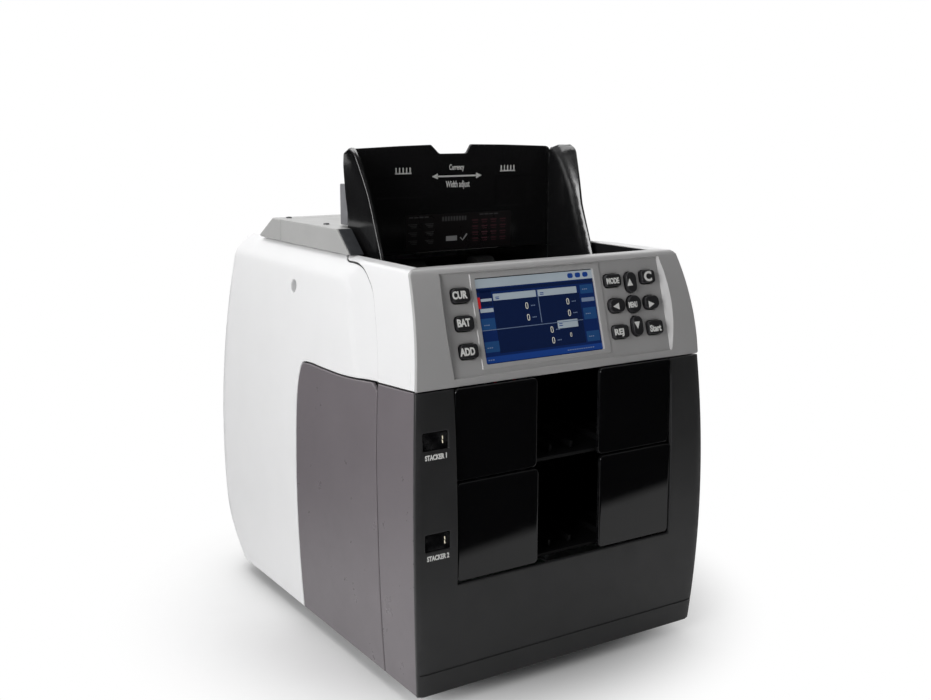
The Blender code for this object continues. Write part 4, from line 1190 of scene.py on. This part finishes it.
def build_screen():
    """Colour screen: status bar, two counting columns, side tiles and a bottom bar."""
    glass = Solid()
    base = panel_matrix() @ Matrix.Translation((sum(SCREEN[0]) / 2, sum(SCREEN[1]) / 2, 0))
    size = (PICTURE_WIDTH + 0.0030, PICTURE_HEIGHT + 0.0030)
    glass.slab(rectangle((0, 0), size, 0.001, 3), -0.0060, -0.0023, 0.0004, base)
    piece("screen_module", glass, "chassis", GLASS)
    for name, (material, level, tiles) in PICTURE.items():
        solid = Solid()
        for tile in tiles:
            screen_tile(solid, tile[:2], tile[2:], level)
        piece(f"picture_{name}", solid, "chassis", material)
    icons = Solid()
    for x in ICONS_X:
        screen_tile(icons, (x, 0.0580), (x + 0.0052, 0.0618), 4, 0.0014)
    for x, y in TICKS:
        screen_tile(icons, (x, y), (x + 0.0036, y + 0.0006), 4)
    piece("picture_icons", icons, "chassis", BRIGHT)
    figures = Solid()
    for x, y in FIGURES:
        zero(figures, x, y, 0.0042)
    zero(figures, 0.0805, 0.0140, 0.0028)
    piece("picture_figures", figures, "chassis", DIGIT)
    captions = Solid()
    for x, y, run in captions_on_screen():
        screen_tile(captions, (x, y), (x + run, y + 0.0007), 5, 0.0001)
    piece("picture_captions", captions, "chassis", MIST)


def captions_on_screen():
    """Small unreadable captions as dashes: (x, y, length)."""
    rows = []
    for x, y in FIGURES:
        rows += [(x + 0.0038 + 0.0014 * k, y - 0.0006, 0.0009) for k in range(3)]
    for x, y in CAPTIONS:
        rows += [(x + 0.0018 * k, y, 0.0012) for k in range(3)]
    rows += [(0.0750 + 0.0022 * k, 0.0019, 0.0015) for k in range(12)]
    rows += [(0.0020 + 0.0020 * k, 0.0019, 0.0013) for k in range(3)]
    return rows


# ---- front ----

WINDOW_X = -0.1189
WINDOW_SIZE = (0.0211, 0.0132)
WINDOWS = {"upper": (0.2061, "STACKER 1"), "lower": (0.1320, "STACKER 2")}
LABEL_BELOW = 0.0115
KICK_GROOVE = (0.0300, 0.0308)
WALL_RIBS_X = (-0.0125, -0.0065, 0.0065, 0.0125, -0.058, -0.042, 0.042, 0.058, -0.085, 0.085)
FLOOR_RIBS_X = (-0.080, -0.060, -0.040, 0.040, 0.060, 0.080, -0.010, 0.010)


def build_front_bezel():
    """Charcoal columns and kick panel, with the two count windows."""

    def surface(a, b):
        return np.stack([a, front_y(b), b], 1)

    def relief(a, b):
        edge = half_width(b)
        outer = -0.0018 * step_up(np.abs(a), edge - 0.0055, edge + 0.0005) ** 1.5
        return outer - 0.0008 * window(b, *KICK_GROOVE, 0.0005)

    heights = np.linspace(SKIRT_Z, UNDER_PANEL_Z, 14)
    side = [(half_width(z), z) for z in heights]
    outline = side + [(OPENING_X, UNDER_PANEL_Z), (OPENING_X, KICK_TOP_Z)]
    outline += [(-OPENING_X, KICK_TOP_Z), (-OPENING_X, UNDER_PANEL_Z)]
    outline += [(-x, z) for x, z in side[::-1]]
    holes = [rectangle((WINDOW_X, z), WINDOW_SIZE, 0.001, 3) for z, _ in WINDOWS.values()]
    edges = [s * (half_width(0.125) - d) for s in (-1, 1) for d in (0.001, 0.002, 0.003, 0.0042, 0.0055)]
    groove = [KICK_GROOVE[0] + d for d in (-0.0005, 0, 0.0004, 0.0008, 0.0013)]
    solid = skin(surface, outline, holes, WALL, 0.0007, (0.005, 0.008), relief, (edges, groove))
    piece("front_frame", solid, "chassis", CHARCOAL, ["front_bezel"])
    for level, (z, text) in WINDOWS.items():
        y = front_y(z)
        glass = Solid()
        mouth = facing_matrix((WINDOW_X, y, z), (1, 0, 0), (0, 0, 1))
        size = (WINDOW_SIZE[0] - 0.0008, WINDOW_SIZE[1] - 0.0008)
        glass.slab(rectangle((0, 0), size, 0.0008, 3), -0.0060, -0.0009, 0.0003, mouth)
        piece(f"count_glass_{level}", glass, "chassis", GLOSS, [f"count_display_{level}"])
        digit = Solid()
        for k in range(2):
            bar = [(0.0062, 0.0006 + 0.0030 * (k - 1)), (0.0059, 0.0030 + 0.0030 * (k - 1))]
            digit.slab(stroke(bar, 0.0007), -0.00092, -0.00082, 0.0, mouth)
        piece(f"count_digit_{level}", digit, "chassis", AMBER)
        low = z - LABEL_BELOW
        along = (0, front_y(low + 0.001) - front_y(low), 0.001)
        words = facing_matrix((WINDOW_X, front_y(low), low), (1, 0, 0), along)
        lettering(f"count_label_{level}", [(text, 0, 0, 0.0036)], words, "chassis", PRINT, 0.0002, 0.72)


def upright_face(y):
    return lambda a, b: np.stack([a, np.full_like(a, y), b], 1)


def build_pocket_plates():
    """Four glossy plates in front of the pockets."""
    for level in ("upper", "lower"):
        for side in ("left", "right"):
            node = f"pocket_plate_{level}_{side}"
            low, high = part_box(node)

            outline = box_outline(low, high, 0.0036, 8)
            solid = skin(upright_face(low.y), outline, (), high.y - low.y, 0.0009, (0.009, 0.009))
            piece(f"gloss_{level}_{side}", solid, "chassis", GLOSS, [node])


def build_pocket_details():
    """What glints in the dark gap between the plates: sensors, guide ribs and screws."""
    for level in ("upper", "lower"):
        low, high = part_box(f"pocket_tray_{level}")
        back = high.y - 0.002
        ribs = Solid()
        for x in WALL_RIBS_X:
            foot = (x - 0.0008, back - 0.0035, low.z + 0.012)
            ribs.box(foot, (x + 0.0008, back - 0.0002, high.z - 0.006), 0.0004)
        for x in FLOOR_RIBS_X:
            foot = (x - 0.0012, low.y + 0.006, low.z + 0.0042)
            ribs.box(foot, (x + 0.0012, back - 0.004, low.z + 0.0095), 0.0004)
        piece(f"pocket_ribs_{level}", ribs, "chassis", POCKET)
        eyes = Solid()
        wall = facing_matrix((0, back - 0.0036, 0), (1, 0, 0), (0, 0, 1))
        for x in (-0.0095, 0.0095):
            lens = wall @ Matrix.Translation((x, (low.z + high.z) / 2 + 0.014, 0))
            eyes.turned([(-0.003, 0.0026), (0.0004, 0.0026), (0.0011, 0.0019), (0.0013, 0.0008)], lens, 20)
        piece(f"pocket_sensors_{level}", eyes, "chassis", INK_RED)
        screws = Solid()
        for x in (-0.0325, 0.0325):
            add_screw(screws, wall @ Matrix.Translation((x, high.z - 0.012, 0.0001)), 0.0024)
        piece(f"pocket_screws_{level}", screws, "chassis", ALLOY)


# ---- hopper ----

PLATE_FACE_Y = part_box("hopper_back_plate")[0].y
PLATE_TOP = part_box("hopper_back_plate")[1].z
PLATE_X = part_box("hopper_back_plate")[1].x + 0.0022
# Finger notch: (x, depth below the top edge)
NOTCH = ((0.0168, 0.0), (0.0122, 0.0075), (-0.0148, 0.0075), (-0.0228, 0.0))
# Shallow recesses: (left, right, bottom, top)
RECESSES = (
    (-0.0759, -0.0338, 0.3650, 0.3815),
    (0.0414, 0.0745, 0.3550, 0.3800),
    (-0.0465, 0.0565, 0.3130, 0.3162),
)


PRINTED = 0.0002
# A comb mark on each side, and a double arrow that shows how the guides adjust
COMBS_X = (-0.0500, 0.0540)
COMBS_Z = 0.3868
ADJUST_Z = 0.3812
ADJUST_TIPS = ((-0.0225, 1), (0.0270, -1))
# (text, x, z, cap height)
PLATE_WORDS = (("Currency", 0.0018, 0.3884, 0.0046), ("Width adjust", 0.0030, 0.3742, 0.0054))
LABEL_BOX = (Vector((-0.0480, 0, 0.3195)), Vector((0.0575, 0, 0.3500)))
TICK = ((0.0052, 0.3292), (0.0076, 0.3268), (0.0122, 0.3320))


def plate_matrix():
    return facing_matrix((0, PLATE_FACE_Y, 0), (1, 0, 0), (0, 0, 1))


def build_back_plate():
    """Tall black plate with a finger notch, two shallow recesses and printed marks."""
    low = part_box("hopper_back_plate")[0].z
    shape = [(-PLATE_X, low), (PLATE_X, low), (PLATE_X, PLATE_TOP - 0.0025), (0.052, PLATE_TOP - 0.0007)]
    shape += [(x, PLATE_TOP - depth) for x, depth in NOTCH]
    shape += [(-0.052, PLATE_TOP - 0.0007), (-PLATE_X, PLATE_TOP - 0.0025)]
    outline = rounded(shape, [0.002, 0.002, 0.006, 0, 0.0022, 0.0032, 0.0040, 0.0022, 0, 0.006], 6)

    def relief(a, b):
        total = 0 * a
        for left, right, bottom, top in RECESSES:
            total = total - 0.0010 * window(a, left, right, 0.0004) * window(b, bottom, top, 0.0004)
        return total

    near = (-0.0005, -0.00025, 0, 0.00025, 0.0005)
    lines_x = [edge + d for box in RECESSES for edge in box[:2] for d in near[:3]]
    lines_z = [edge + d for box in RECESSES for edge in box[2:] for d in near]
    face_on = upright_face(PLATE_FACE_Y)
    solid = skin(face_on, outline, (), 0.0029, 0.0008, (0.006, 0.006), relief, (lines_x, lines_z))
    piece("back_plate", solid, "chassis", PLATE, ["hopper_back_plate"])

    face = plate_matrix()
    marks = Solid()
    for x in COMBS_X:
        marks.slab(rectangle((x, COMBS_Z - 0.0024), (0.0155, 0.0010)), 0, PRINTED, 0, face)
        for k in range(5):
            tooth = (x - 0.0066 + 0.0033 * k, COMBS_Z)
            marks.slab(rectangle(tooth, (0.0010, 0.0048)), 0, PRINTED, 0, face)
    marks.slab(rectangle((0.0022, ADJUST_Z), (0.0400, 0.0013)), 0, PRINTED, 0, face)
    for tip, way in ADJUST_TIPS:
        foot = tip + way * 0.0056
        head = [(tip, ADJUST_Z), (foot, ADJUST_Z - 0.0024), (foot, ADJUST_Z + 0.0024)]
        marks.slab(head, 0, PRINTED, 0, face)
    piece("plate_marks", marks, "chassis", PRINT)
    lettering("plate_words", PLATE_WORDS, face, "chassis", PRINT, PRINTED, 0.58, 0.02)
    build_instruction_label(face)


def build_instruction_label(face):
    """Dim label low on the plate: note pictograms, a tick, and dashes for its lines of text."""
    ground = Solid()
    ground.slab(box_outline(*LABEL_BOX, 0.001, 3), 0, 0.00012, 0, face)
    piece("label_ground", ground, "chassis", LABEL)
    grey, red, bold = Solid(), Solid(), Solid()
    z = 0.00014

    def bar(solid, x, y, run, rise=0.0008):
        solid.slab(rectangle((x, y), (run, rise)), z, z + 0.00008, 0, face)

    for k in range(4):
        bar(grey, -0.0430 + 0.0050 * k, 0.3478, 0.0040, 0.0011)
    for row in range(3):
        y = 0.3420 - 0.0068 * row
        for column in range(2):
            x = -0.0415 + 0.0160 * column
            for line in range(3):
                bar(grey, x + 0.0006 * line, y - 0.0013 * line, 0.0085 - 0.0018 * line, 0.0006)
    for k in range(9):
        bar(grey, -0.0118 + 0.0028 * k, 0.3455, 0.0018, 0.0038)
    bar(bold, -0.0035, 0.3288, 0.0110, 0.0042)
    bold.slab(stroke(TICK, 0.0013), z, z + 0.00008, 0, face)
    for k in range(4):
        bar(grey, 0.0270 + 0.0050 * k, 0.3480, 0.0040, 0.0010)
    for row in range(4):
        for column in range(4):
            bar(red, 0.0205 + 0.0095 * column, 0.3432 - 0.0052 * row, 0.0062, 0.0012)
            bar(red, 0.0205 + 0.0095 * column, 0.3412 - 0.0052 * row, 0.0050, 0.0007)
    bar(grey, 0.0030, 0.3185, 0.0820, 0.0005)
    piece("label_grey", grey, "chassis", DIM_PRINT)
    piece("label_bold", bold, "chassis", MID_PRINT)
    piece("label_red", red, "chassis", RED_PRINT)


# Guide outline, from the bottom up: (z, front y, inner x at the front, outer x at the rear)
GUIDE_ROWS = (
    (0.2985, -0.0945, 0.1005, 0.0990),
    (0.3245, -0.0855, 0.1005, 0.1008),
    (0.3570, -0.0730, 0.1005, 0.1032),
    (0.3700, -0.0690, 0.1015, 0.1046),
    (0.3850, -0.0630, 0.1035, 0.1056),
    (0.3950, -0.0585, 0.1050, 0.1060),
    (0.4010, -0.0555, 0.1060, 0.1057),
    (0.4040, -0.0520, 0.1065, 0.1055),
    (0.4058, -0.0465, 0.1065, 0.1053),
)
HOPPER_RIBS_X = (-0.1000, -0.0850, -0.0700, -0.0560, -0.0120, 0.0, 0.0120, 0.0560, 0.0700, 0.0850, 0.1000)
BRACKET_X = 0.1000
BRACKET_Y = -0.0232
BRACKET_Z = (0.3440, 0.3770)
BRACKET_SCREWS_Z = (0.3520, 0.3690)
GUIDE_REAR_X = 0.0965
GUIDE_REAR_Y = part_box("width_guide_left")[1].y
FLAP_SLOPE = 0.75
FLAP_BEND = 0.0035
GUIDE_THICK = 0.0025
GUIDE_DROOP = 0.18
GUIDE_DROOP_Z = 0.385


def build_width_guides():
    """Satin black guides, thicker at the rear, whose front flap turns outwards."""
    rows = np.array(GUIDE_ROWS)
    edge = flowing([(row[1], row[0]) for row in GUIDE_ROWS], 6)
    front_at = np.array(edge)

    def faces(a, b):
        """Outer x, inner x and droop of the guide."""
        front = np.interp(b, front_at[:, 1], front_at[:, 0])
        inner_front = np.interp(b, rows[:, 0], rows[:, 2])
        outer_rear = np.interp(b, rows[:, 0], rows[:, 3])
        wide = (inner_front - GUIDE_REAR_X) / FLAP_SLOPE
        ahead = wide - (a - front)
        flap = (ahead + np.sqrt(ahead**2 + FLAP_BEND**2)) / (wide + np.sqrt(wide**2 + FLAP_BEND**2))
        inner = GUIDE_REAR_X + (inner_front - GUIDE_REAR_X) * flap
        outer = outer_rear + (inner_front + GUIDE_THICK - outer_rear) * flap
        share = (a - front) / (GUIDE_REAR_Y - front)
        return outer, inner, GUIDE_DROOP * np.maximum(0, b - GUIDE_DROOP_Z) * share

    def thick(a, b):
        outer, inner, _ = faces(a, b)
        return outer - inner

    for side, sign in SIDES:

        def surface(a, b):
            outer, _, droop = faces(a, b)
            return np.stack([sign * outer, a, b - droop], 1)

        def deep(a, b):
            return thick(sign * a, b)

        shape = [(GUIDE_REAR_Y, GUIDE_ROWS[0][0])] + edge + [(GUIDE_REAR_Y, GUIDE_ROWS[-1][0])]
        outline = on_side(rounded(shape, [0.002] + [0] * (len(shape) - 2) + [0.002], 5), sign)
        solid = skin(oriented(surface, sign), outline, (), deep, 0.0009, (0.0035, 0.0035))
        piece(f"guide_{side}_wall", solid, f"guide_{side}", GUIDE, [f"width_guide_{side}"])


def build_hopper_details():
    """Ribs along the hopper floor and the light grey bracket behind the plate."""
    tray_low, tray_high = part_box("hopper_tray")
    floor_front, floor_rear = 0.296, 0.2842
    front, rear = tray_low.y + 0.004, tray_high.y - 0.002
    slope = (floor_rear - floor_front) / (tray_high.y - tray_low.y)
    ribs = Solid()
    for x in HOPPER_RIBS_X:
        side = []
        for y, lift in ((front, 0.0), (front + 0.004, 0.0012), (rear - 0.004, 0.0012), (rear, 0.0)):
            z = floor_front + slope * (y - tray_low.y)
            side.append((y, z + lift))
        loop = side + [(rear, side[-1][1] - 0.002), (front, side[0][1] - 0.002)]
        rings = [[(x + dx, y, z) for y, z in loop] for dx in (-0.0008, 0.0008)]
        ribs.loft(rings)
    piece("hopper_ribs", ribs, "chassis", HOPPER)
    brackets = Solid()
    screws = Solid()
    low, high = BRACKET_Z
    for sign in (-1, 1):
        left, right = sorted((sign * 0.0965, sign * BRACKET_X))
        brackets.box((left, BRACKET_Y - 0.0003, low), (right, -0.0125, high), 0.0008)
        left, right = sorted((sign * 0.0880, sign * BRACKET_X))
        brackets.box((left, -0.0255, low), (right, BRACKET_Y, high), 0.0006)
        for z in BRACKET_SCREWS_Z:
            add_screw(screws, facing_matrix((sign * 0.0925, BRACKET_Y, z), (-1, 0, 0), (0, 0, 1)), 0.0022)
    piece("plate_brackets", brackets, "chassis", ROLLER)
    piece("plate_screws", screws, "chassis", BLACK_STEEL)


# ---- raised cover, rear door and rear panel ----

RAISED_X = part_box("top_cover")[1].x
RAISED_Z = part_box("top_cover")[1].z
RAISED_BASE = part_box("top_cover")[0].z
RAISED_SEAM_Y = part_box("top_cover")[1].y
RAISED_FRONT = (-0.0648, -0.0436)
RAISED_REAR = (0.0850, 0.1185)
RAISED_SCREW_X = 0.1066
ARM_INNER_X = 0.1057
ARM_END_DEEP = 0.0022
HOPPER_REAR_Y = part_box("hopper_tray")[1].y
# The door's skin runs on under its end of the raised cover, and a web joins the two
DOOR_TUCK = 0.016
# On the door: half widths, and heights along its skin
PULL_X = 0.034
PULL = (0.150, 0.166)
DOOR_FIELD_X = 0.096
DOOR_FIELD = (0.012, 0.186)
# The rocker's opening is tall enough for its swing
SWITCH_OPENING = 0.0208
ROCKER_SLOPE = (0.0030, 0.0080)
# Pins of the mains inlet, from its middle: (x, z)
INLET_PINS = ((-0.0070, -0.0018), (0.0, 0.0026), (0.0070, -0.0018))
INLET_FLOOR_Y = 0.1785


def cap_prism(solid, front, rear, low, high, ends, radius):
    """Slab between the lines front and rear, each the y at low and at high, its edges rounded over."""
    profile = [(front[0], low), (rear[0], low), (rear[1], high), (front[1], high)]
    loop = turned_way(rounded(profile, radius, 4), True)
    edge = 0.75 * radius
    rings = []
    for end, way in zip(ends, (1, -1)):
        steps = [(edge, 0), (0.3 * edge, 0.3 * edge), (0, edge)]
        for inset, depth in steps[::way]:
            ring = moved_in(loop, inset) if inset else np.array(loop)
            rings.append([(end + way * depth, y, z) for y, z in ring])
    solid.loft(rings)


def add_cover_screws(name, y, body):
    """A screw at either side of the raised cover's top."""
    screws = Solid()
    for sign in (-1, 1):
        add_screw(screws, Matrix.Translation((sign * RAISED_SCREW_X, y, RAISED_Z - 0.0004)), 0.0026)
    piece(name, screws, body, BLACK_STEEL)


def build_raised_cover():
    """Light grey cover behind the hopper: body, an arm on each side, dark arm ends, screws."""
    front = HOPPER_REAR_Y + 0.0003
    heights = (RAISED_BASE, RAISED_Z)
    solid = Solid()
    whole = (-RAISED_X, RAISED_X)
    cap_prism(solid, (front, front), (RAISED_SEAM_Y, RAISED_SEAM_Y), *heights, whole, 0.0008)
    piece("raised_cover", solid, "chassis", LIGHT_GREY, ["top_cover"])
    arms = Solid()
    ends = Solid()
    end_rear = [y + ARM_END_DEEP - 0.0002 for y in RAISED_FRONT]
    arm_front = [y + ARM_END_DEEP for y in RAISED_FRONT]
    arm_rear = (front + 0.0012, front + 0.0012)
    for sign in (-1, 1):
        low, high = sorted((sign * ARM_INNER_X, sign * RAISED_X))
        cap_prism(arms, arm_front, arm_rear, *heights, (low, high), 0.0009)
        span = sorted((sign * ARM_INNER_X, sign * (RAISED_X - 0.0012)))
        cap_prism(ends, RAISED_FRONT, end_rear, RAISED_BASE, RAISED_Z - 0.0002, span, 0.0004)
    piece("raised_arms", arms, "chassis", LIGHT_GREY)
    piece("arm_ends", ends, "chassis", SLATE)
    add_cover_screws("raised_screws", 0.0, "chassis")


def build_rear_door():
    """Rear door: curved skin with a finger pull and a sunk border, its end of the raised cover, and a web
    that joins them.
    """
    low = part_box("rear_door")[0].z
    heights = np.linspace(low, SHOULDER_Z, 30)
    path = [(rear_y(z), z) for z in heights]
    for angle in np.linspace(0, math.pi / 2, 9)[1:]:
        z = SHOULDER_Z + SHOULDER.z * math.sin(angle)
        path.append((rear_y(z) - SHOULDER.y * (1 - math.cos(angle)), z))
    path.append((RAISED_REAR[1] - DOOR_TUCK, RIM_Z))
    points = np.array(path)
    run = np.concatenate([[0], np.cumsum(np.linalg.norm(np.diff(points, axis=0), axis=1))])

    def surface(a, b):
        y = np.interp(b, run, points[:, 0])
        z = np.interp(b, run, points[:, 1]) + np.minimum(b, 0)
        return np.stack([-a, y - np.maximum(b - run[-1], 0), z], 1)

    def relief(a, b):
        """Finger pull, and a border a little below the field."""
        hollow = window(a, -PULL_X, PULL_X, 0.004) * window(b, *PULL, 0.0035)
        border = 1 - window(a, -DOOR_FIELD_X, DOOR_FIELD_X, 0.003) * window(b, *DOOR_FIELD, 0.003)
        return -0.0020 * hollow - 0.0009 * border

    reach = RIM_X - 0.0004
    outline = rectangle((0, run[-1] / 2), (2 * reach, run[-1]), 0.0025, 4)
    lines_a = [s * v for s in (-1, 1) for v in (0.0345, 0.036, 0.0375, 0.096, 0.0975, 0.099)]
    lines_b = [0.009, 0.0105, 0.012, 0.1465, 0.148, 0.150, 0.166, 0.168, 0.1695, 0.186, 0.1875, 0.189]
    solid = skin(surface, outline, (), WALL, 0.0009, (0.007, 0.006), relief, (lines_a, lines_b))
    piece("door_skin", solid, "door", WHITE, ["rear_door"])
    cap = Solid()
    seam = RAISED_SEAM_Y + 0.0005
    cap_prism(cap, (seam, seam), RAISED_REAR[::-1], RAISED_BASE, RAISED_Z, (-RAISED_X, RAISED_X), 0.0016)
    web_x = reach - 0.003
    web_y = RAISED_REAR[1] - DOOR_TUCK
    foot = (-web_x, web_y + 0.0015, RIM_Z - 0.6 * WALL)
    cap.box(foot, (web_x, web_y + 0.0080, RAISED_BASE + 0.002), 0.0004)
    piece("door_cap", cap, "door", LIGHT_GREY)
    add_cover_screws("door_screws", 0.0745, "door")


def build_rear_panel():
    """Fixed lower rear panel with openings for the inlet, the switch and the vents."""
    low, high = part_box("rear_panel")

    def surface(a, b):
        return np.stack([-a, rear_y(b), b], 1)

    holes = []
    for node, play, tall in (("mains_inlet", 0.0004, 0.0), ("power_switch", 0.0008, SWITCH_OPENING)):
        near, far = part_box(node)
        size = (far.x - near.x + 2 * play, tall or far.z - near.z + 2 * play)
        holes.append(rectangle((-(near.x + far.x) / 2, (near.z + far.z) / 2), size, 0.0010, 3))
    for number in range(9):
        holes.append(rectangle((-(0.0125 + 0.010 * number), 0.081), (0.005, 0.030), 0.0024, 5))
    outline = box_outline(low, high, 0.0015, 3)
    solid = skin(surface, outline, holes, fillet=0.0006, step=(0.006, 0.005))
    piece("rear_skin", solid, "chassis", WHITE, ["rear_panel"])


def build_inlet_details():
    """Three pins in the mains socket, and the mark on the rocker switch."""
    low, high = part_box("mains_inlet")
    x, z = (low.x + high.x) / 2, (low.z + high.z) / 2
    pins = Solid()
    for dx, dz in INLET_PINS:
        mouth = facing_matrix((x + dx, INLET_FLOOR_Y, z + dz), (-1, 0, 0), (0, 0, 1))
        pins.slab(rectangle((0, 0), (0.0020, 0.0040), 0.0004, 2), 0, 0.0110, 0.0005, mouth)
    piece("inlet_pins", pins, "chassis", ALLOY)
    low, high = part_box("power_switch")
    x, z = (low.x + high.x) / 2, (low.z + high.z) / 2
    marks = Solid()
    top = facing_matrix((x, high.y - 0.0015, z + 0.0040), (-1, 0, 0), (0, *ROCKER_SLOPE))
    marks.slab(rectangle((0, 0), (0.0008, 0.0036)), -0.0001, 0.0002, 0, top)
    piece("switch_mark", marks, "switch", PRINT)


# ---- carried-over nodes ----

CARRIED = (
    (STEEL, ("base_pan", "side_frame_left", "side_frame_right", "power_supply", "drive_motor")),
    (ALLOY, ("diverter_gate", "motor_pulley")),
    (RUBBER, ("foot_front_left", "foot_front_right", "foot_rear_left", "foot_rear_right", "drive_belt")),
    (RUBBER, ("pickup_roller", "feed_roller", "retard_roller")),
    (ROLLER, ("turn_roller", "stacker_wheels_upper", "stacker_wheels_lower")),
    (HOPPER, ("hopper_tray",)),
    (POCKET, ("pocket_tray_upper", "pocket_tray_lower")),
    (CHARCOAL, ("image_sensor", "mains_inlet")),
    (GLOSS, ("power_switch",)),
    (BOARD, ("main_board", "display_board")),
)


def finish_carried_nodes():
    """Give every node that stays in view its finish and a small bevel."""
    for material, names in CARRIED:
        for name in names:
            node = frame["nodes"][name]
            node.data.materials.clear()
            node.data.materials.append(material)
            weld = node.modifiers.new("weld", "WELD")
            weld.merge_threshold = 0.00001
            bevel = node.modifiers.new("bevel", "BEVEL")
            bevel.width = 0.0003
            bevel.segments = 2
            bevel.limit_method = "ANGLE"
            bevel.angle_limit = math.radians(40)
            weighted = node.modifiers.new("even_shading", "WEIGHTED_NORMAL")
            weighted.keep_sharp = True


# ---- studio ----

CAMERA_PLACE = (-0.5301, -0.8776, 0.4297)
CAMERA_TURN = (78.79, 0.0, -32.51)
CAMERA_LENS = 45.38
# Edge of the table, as seen in the glossy plates: direction across it, and its distance
TABLE_EDGE_WAY = (-0.1915, -0.9815, 0.0)
TABLE_EDGE = 0.4222
TABLE_DIMS_BEHIND = (0.15, -0.30)
BACKDROP_FADE = (0.17, 0.30)
BRIGHT_WAY = Vector((0.35, 0.85, 0.35)).normalized()


def build_camera():
    lens = bpy.data.cameras.new("camera")
    lens.lens = CAMERA_LENS
    lens.sensor_width = 36
    lens.clip_start = 0.01
    camera = bpy.data.objects.new("camera", lens)
    camera.location = CAMERA_PLACE
    camera.rotation_euler = [math.radians(angle) for angle in CAMERA_TURN]
    bpy.context.scene.collection.objects.link(camera)
    bpy.context.scene.camera = camera


def add_light(name, place, target, size, power):
    light = bpy.data.lights.new(name, "AREA")
    light.shape = "RECTANGLE"
    light.size, light.size_y = size
    light.energy = power
    item = bpy.data.objects.new(name, light)
    item.location = place
    item.rotation_euler = (Vector(target) - Vector(place)).to_track_quat("-Z", "Y").to_euler()
    bpy.context.scene.collection.objects.link(item)


def floor_paper():
    """Pale paper that turns into white backdrop; in the glossy plates it ends at the table's edge."""
    material = finish("floor_paper", (0.84, 0.84, 0.84), 0.6, mottle=0.004, grain=0.02)
    tree = material.node_tree
    paper = tree.nodes["Principled BSDF"]
    path = add_node(tree, "LightPath")
    place = add_node(tree, "TexCoord").outputs["Object"]
    reach = add_node(tree, "VectorMath", operation="LENGTH")
    tree.links.new(place, reach.inputs[0])
    far = mapped(tree, reach.outputs["Value"], BACKDROP_FADE, smooth=True)
    far = combined(tree, "MULTIPLY", far, path.outputs["Is Camera Ray"])
    backdrop = mixed(tree, far, paper.outputs[0], add_node(tree, "Emission", Strength=1.0).outputs[0])
    ahead = reached(tree, place, TABLE_EDGE_WAY)
    beyond = mapped(tree, ahead, (TABLE_EDGE, TABLE_EDGE + 0.02))
    dark = combined(tree, "MAXIMUM", beyond, mapped(tree, ahead, TABLE_DIMS_BEHIND))
    dark = combined(tree, "MULTIPLY", dark, path.outputs["Is Glossy Ray"])
    gloom = add_node(tree, "Emission", Strength=0.004)
    whole = mixed(tree, dark, backdrop, gloom.outputs[0])
    tree.links.new(whole, tree.nodes["Material Output"].inputs["Surface"])
    return material


def build_floor():
    """Pale floor, a wide disc that fades into the backdrop."""
    mesh = bpy.data.meshes.new("floor")
    shape = bmesh.new()
    rows = []
    for radius in (0.02, 0.4, 0.8, 1.6, 3.0, 6.0, 12.0):
        rows.append([shape.verts.new((x, y, -0.0003)) for x, y in circle((0, 0), radius, 64)])
    for inner, outer in zip(rows, rows[1:]):
        for a, b, c, d in zip(inner, outer, outer[1:] + outer[:1], inner[1:] + inner[:1]):
            shape.faces.new([a, b, c, d])
    shape.faces.new(rows[0])
    bmesh.ops.recalc_face_normals(shape, faces=shape.faces)
    shape.to_mesh(mesh)
    shape.free()
    mesh.materials.append(floor_paper())
    floor = bpy.data.objects.new("floor", mesh)
    bpy.context.scene.collection.objects.link(floor)


def build_world():
    """White to the camera; for light and reflections a dim room that is bright at the back."""
    world = bpy.data.worlds.new("studio")
    bpy.context.scene.world = world
    world.use_nodes = True
    tree = world.node_tree
    tree.nodes.clear()
    path = add_node(tree, "LightPath")
    seen = add_node(tree, "Background", Strength=1.0)
    seen.inputs["Color"].default_value = (1, 1, 1, 1)
    room = add_node(tree, "Background", Strength=1.0)
    facing = reached(tree, add_node(tree, "TexCoord").outputs["Generated"], BRIGHT_WAY)
    facing = mapped(tree, facing, (-1.0, 1.0))
    shade = grey_ramp(tree, facing, (0.0, 0.02), (0.42, 0.08), (0.68, 0.30), (0.92, 1.1))
    tree.links.new(shade, room.inputs["Color"])
    both = mixed(tree, path.outputs["Is Camera Ray"], room.outputs[0], seen.outputs[0])
    tree.links.new(both, add_node(tree, "OutputWorld").inputs["Surface"])


def build_studio():
    build_camera()
    build_world()
    build_floor()
    add_light("key_left", (-1.45, -0.60, 0.75), (0, 0, 0.24), (0.8, 0.9), 15.0)
    add_light("top", (-0.30, 0.30, 1.50), (0, 0, 0.25), (1.0, 1.0), 8.5)
    bpy.context.scene.view_settings.view_transform = "Standard"


def main():
    build_studio()
    build_side_covers()
    build_front_wings()
    build_seam_shade_strips()
    build_side_panels()
    build_control_panel()
    build_keys()
    build_screen()
    build_front_bezel()
    build_pocket_plates()
    build_pocket_details()
    build_back_plate()
    build_width_guides()
    build_hopper_details()
    build_raised_cover()
    build_rear_door()
    build_rear_panel()
    build_inlet_details()
    finish_carried_nodes()


main()
